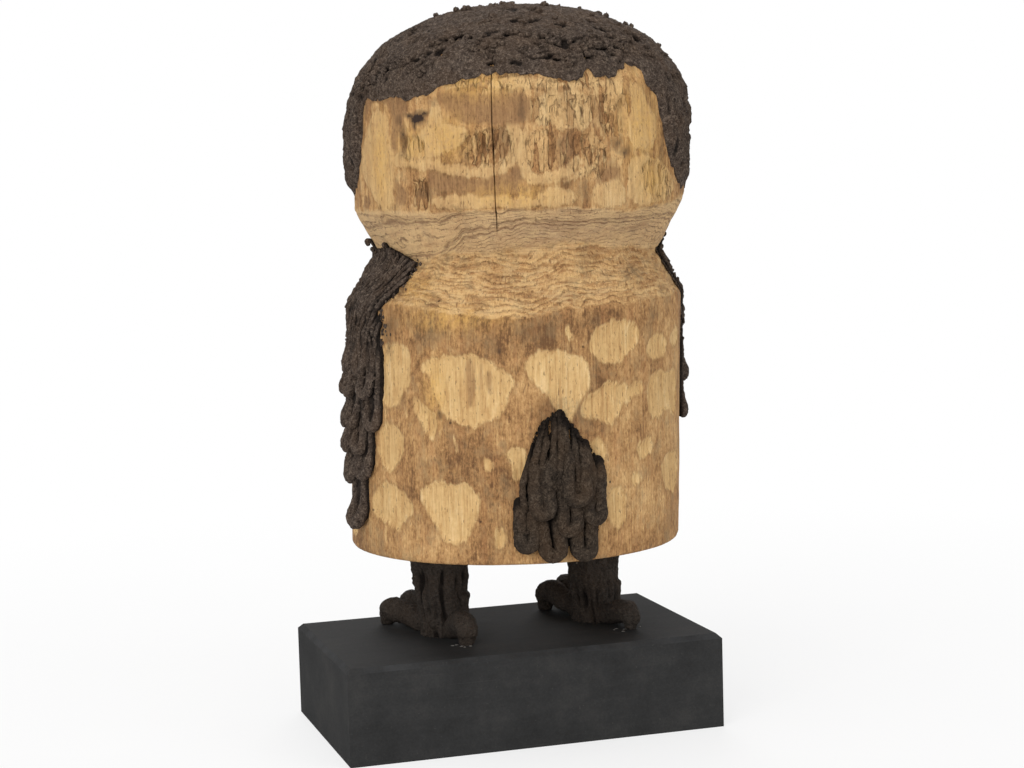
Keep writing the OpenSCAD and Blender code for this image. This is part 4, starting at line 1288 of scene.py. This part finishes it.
def leg(side):
    """A paste sheath furrowed like bark round the peg, then its toes."""
    low, high = node_box(f"leg_{side}")
    centre = (low + high) / 2
    tall = high[2] - low[2]
    cols, rows = 150, 96
    t = np.linspace(0, 1, rows)
    turn = np.linspace(0, 2 * math.pi, cols, endpoint=False)
    height = (tall + FOOT_LIFT) * t
    r = LEG_WIDTH[side] * np.interp(height, [0, 4, 13, 22, tall], [9.6, 9.4, 10.1, 11.1, 12.2])
    x, y = np.cos(turn)[None, :], np.sin(turn)[None, :]
    at = xyz(x * 11, y * 11, height[:, None])
    twisted = turn[None, :] + 0.25 * np.sin(height / 13.0)[:, None]
    q = xyz(11 * np.cos(twisted), 11 * np.sin(twisted), at[..., 2] / 4.0)
    seed = 401 if side == "left" else 411
    bark = 1.1 * ridge(q, (3.0, 3.0, 3.0), seed) + 0.55 * ridge(q, (1.6, 1.6, 2.2), seed + 1)
    swell = bark - 0.6 + 0.7 * noise(at, 8.0, seed + 2) + 0.30 * noise(at, 1.1, seed + 3)
    lobe = np.clip(np.cos(turn - math.radians(140)), 0, 1)[None, :]
    ragged_h = 17 + 1.6 * noise(at, (2.5, 2.5, 40), seed + 4)
    swell = swell + 1.5 * lobe * smooth(at[..., 2], ragged_h + 0.6, ragged_h - 0.6)
    swell = swell + 0.5 * np.sin(turn * 2 + seed)[None, :] * (1 - t)[:, None]
    peg_low, peg_high = node_box(f"leg_peg_{side}")
    radius = np.maximum(r[:, None] + swell, (peg_high[0] - peg_low[0]) / 2 + 0.4)
    points = xyz(centre[0] + radius * x, centre[1] + radius * y, low[2] + at[..., 2])
    build = Build()
    # painted shade in the bark's furrows
    build.add(points, closed_faces(rows, cols), gap=np.clip(0.34 - 0.62 * bark, 0, 1))
    build.piece(f"leg_bark_{side}", SHADED_LEG_PASTE, "plumage_paste", f"leg_{side}")
    for toe_name in FEET[side]:
        toe(side, toe_name, centre)


def toe(side, name, centre):
    """A thick coil that leaves the foot, arches up and comes down on its claw."""
    direction, tip, top = FEET[side][name]
    arch = 4.2
    over = tip - 3.4 - arch
    crest = top - 5.0
    x = np.arange(4.0, over, 0.8)
    z = 3.9 + (crest - 3.9) * smooth(x, 9, over)
    bend = np.linspace(math.pi / 2, -0.1, 18)[1:]
    down = np.arange(crest - arch - 0.6, 1.2, -0.6)
    x = np.concatenate([x, over + arch * np.cos(bend), over + arch + 0 * down])
    z = np.concatenate([z, crest - arch + arch * np.sin(bend), down])
    t = np.linspace(0, 1, len(x))
    size = np.interp(t, [0, 0.3, 0.6, 0.85, 1], [4.5, 4.9, 5.1, 4.2, 2.8])
    seed = int(420 + 7 * abs(direction) + (3 if side == "left" else 0))
    wave = 0.6 * noise(xyz(x, 0, 0), 9.0, seed)
    a = math.radians(direction)
    path = xyz(centre[0] + x * math.cos(a) - wave * math.sin(a),
               centre[1] + x * math.sin(a) + wave * math.cos(a), PLINTH_TOP + np.maximum(z, 0.8))
    out = np.broadcast_to([-math.sin(a), math.cos(a), 0.0], path.shape)
    build = Build()
    tube(build, path, size, sides=24, grit=0.34, lump=0.7, seed=seed, out=out)
    build.points[-1][:, 2] = np.maximum(build.points[-1][:, 2], PLINTH_TOP + 0.02)
    if name == "hind":
        glue_specks(build, path[-1], seed)
    build.piece(f"{side}_toe_coil_{name}", SHADED_LEG_PASTE, "plumage_paste", f"{side}_toe_{name}")


def glue_specks(build, at, seed):
    """A few pale drops of glue on the plinth beside a claw."""
    rng = np.random.default_rng(seed)
    for _ in range(14):
        spot = np.array([at[0] + rng.normal(1.5, 2.6), at[1] + rng.normal(0, 1.6), PLINTH_TOP + 0.05])
        sizes = np.array([rng.uniform(0.3, 0.8), rng.uniform(0.2, 0.5), 0.2])
        crumb(build, spot, np.eye(3), sizes, int(rng.integers(1, 9999)), glue=0.55)


# ------------------------------------------------------------------ face
EYE_TURN = 21          # degrees from straight ahead to the middle of an eye


def face():
    """Two rings and a ball for each eye, and the beak."""
    for side, sign in (("left", 1), ("right", -1)):
        low, high = node_box(f"eye_ring_{side}")
        centre = (low + high) / 2
        angle = math.radians(-90 + sign * EYE_TURN)
        out = np.array([math.cos(angle), math.sin(angle), 0])
        across = np.array([-math.sin(angle), math.cos(angle), 0])
        build = Build()
        for ring_r, coil, lift in ((15.0, 2.9, 0.0), (10.6, 1.9, -0.8)):
            t = np.linspace(0, 2 * math.pi, 90)
            circle = np.cos(t)[:, None] * across + np.sin(t)[:, None] * [0, 0, 1]
            path = centre + ring_r * circle + lift * out
            tube(build, path, coil, sides=16, grit=0.22, lump=0.3, seed=500 + sign,
                 out=np.broadcast_to(out, path.shape))
        build.piece(f"eye_ring_coil_{side}", PASTE, "plumage_paste", f"eye_ring_{side}")
        build = Build()
        rows, cols = 26, 48
        e = np.linspace(0, math.pi / 2, rows)[::-1]
        turn = np.linspace(0, 2 * math.pi, cols, endpoint=False)
        base = centre - out * 2.9
        level = np.cos(turn)[:, None] * across + np.sin(turn)[:, None] * [0, 0, 1]
        unit = np.cos(e)[:, None, None] * level + np.sin(e)[:, None, None] * out * 0.75
        groove = 0.5 * np.exp(-((np.degrees(e) - 48) / 6) ** 2)[:, None]
        swell = 8.9 - groove + 0.08 * noise(unit * 9, 1.0, 510)
        points = base + unit * swell[..., None]
        build.add(points, [f[::-1] for f in closed_faces(rows, cols)])
        build.piece(f"eye_ball_{side}", PASTE_EYE, "eyes", f"eye_{side}")
    low, high = node_box("beak")
    tall = high[2] - low[2]
    t = np.linspace(0, 1, 34)
    z = high[2] - 3.5 - (tall - 4.5) * t
    y = -HEAD_R + LOG_Y - 0.5 - 5.2 * np.sin(np.clip(t * 1.25, 0, 1) * math.pi * 0.62)
    path = xyz(axis_x(z), y, z)
    size = np.interp(t, [0, 0.2, 0.6, 1], [3.4, 4.2, 3.0, 0.9])
    build = Build()
    tube(build, path, size, sides=20, grit=0.14, lump=0.15, seed=520,
         out=np.broadcast_to([0, -1.0, 0], path.shape))
    build.piece("beak_paste", PASTE_EYE, "beak", "beak")


# ------------------------------------------------------------------ build
carved_log()
head_cap()
wing(1, "left_wing")
wing(-1, "right_wing")
tail()
leg("left")
leg("right")
face()


def finish_node(name, material, bevel=None):
    """Gives a CAD mesh its material and, where asked, softened edges."""
    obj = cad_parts[name]
    for index in range(max(1, len(obj.data.materials))):
        if len(obj.data.materials) <= index:
            obj.data.materials.append(material)
        obj.material_slots[index].material = material
    if bevel:
        cut = obj.modifiers.new("eased_edges", "BEVEL")
        cut.width = bevel * MM
        cut.segments = 3 if bevel < 1 else 6
        cut.limit_method = "ANGLE"
        cut.angle_limit = math.radians(30)


finish_node("plinth", PAINT, bevel=2.6)
for fixing in ("mounting_rods", "rod_washers", "rod_nuts"):
    finish_node(fixing, STEEL, bevel=0.15)
for peg in ("leg_peg_left", "leg_peg_right"):
    finish_node(peg, PEG)


# ------------------------------------------------------------------ floor and light
def seen_rays(tree):
    """1 for the rays that show the background itself: camera, glossy and transmission rays."""
    path = tree.nodes.new("ShaderNodeLightPath")
    either = path.outputs["Is Camera Ray"]
    for ray in ("Is Glossy Ray", "Is Transmission Ray"):
        node = tree.nodes.new("ShaderNodeMath")
        node.operation = "MAXIMUM"
        tree.links.new(either, node.inputs[0])
        tree.links.new(path.outputs[ray], node.inputs[1])
        either = node.outputs[0]
    return either


def blend_shaders(tree, factor, first, second, out):
    """Goes from the first shader to the second with the factor, and links that to the output."""
    blend = tree.nodes.new("ShaderNodeMixShader")
    for socket, value in zip(blend.inputs, (factor, first, second)):
        tree.links.new(value, socket)
    tree.links.new(blend.outputs[0], out.inputs["Surface"])


def make_floor():
    mesh = bpy.data.meshes.new("floor")
    reach = 3.0
    cells = 8
    line = np.linspace(-reach, reach, cells + 1)
    x, y = np.meshgrid(line, line)
    mesh.from_pydata(xyz(x.ravel(), y.ravel(), 0).tolist(), [],
                     grid_faces(cells + 1, cells + 1, wrap=False).tolist())
    n = Nodes("pale_floor", roughness=0.9, specular=0.1)
    n.finish(n.ramp(n.noise(200.0, detail=2.0), (0.3, (0.80, 0.80, 0.80, 1)), (0.7, (0.82, 0.82, 0.82, 1))))
    glow = n.tree.nodes.new("ShaderNodeEmission")
    glow.inputs["Color"].default_value = (1, 1, 1, 1)
    far = Field(n, n.vector_math("LENGTH", n.place, "Value")).span(0.20, 0.60, 0.72, 1.0)
    factor = Field(n, seen_rays(n.tree)) * far
    blend_shaders(n.tree, factor.socket, n.shader.outputs["BSDF"], glow.outputs["Emission"],
                  n.tree.nodes["Material Output"])
    mesh.materials.append(n.material)
    floor = bpy.data.objects.new("floor", mesh)
    bpy.context.collection.objects.link(floor)


def make_world(level):
    world = bpy.data.worlds.new("studio")
    bpy.context.scene.world = world
    world.use_nodes = True
    tree = world.node_tree
    tree.nodes.clear()
    light, seen = (tree.nodes.new("ShaderNodeBackground") for _ in range(2))
    light.inputs["Strength"].default_value = level
    seen.inputs["Strength"].default_value = 1.0
    light.inputs["Color"].default_value = seen.inputs["Color"].default_value = (1, 1, 1, 1)
    blend_shaders(tree, seen_rays(tree), light.outputs[0], seen.outputs[0],
                  tree.nodes.new("ShaderNodeOutputWorld"))


def lamp(name, at, target, size, watts):
    data = bpy.data.lights.new(name, "AREA")
    data.shape = "RECTANGLE"
    data.size, data.size_y = size
    data.energy = watts
    obj = bpy.data.objects.new(name, data)
    obj.location = at
    obj.rotation_euler = (Vector(target) - Vector(at)).to_track_quat("-Z", "Y").to_euler()
    bpy.context.collection.objects.link(obj)


make_floor()
make_world(0.42)
MIDDLE = (0, 0, 0.16)
lamp("top_box", (0.25, 0.35, 1.5), MIDDLE, (1.2, 1.2), 9.0)
lamp("key_box", (1.15, 1.25, 0.75), MIDDLE, (0.9, 1.1), 13.5)
lamp("fill_box", (-0.95, 1.30, 0.45), MIDDLE, (0.9, 1.1), 6.0)
lamp("face_box", (-0.4, -1.5, 0.8), MIDDLE, (1.1, 1.1), 14.0)

bpy.context.scene.view_settings.view_transform = "Standard"
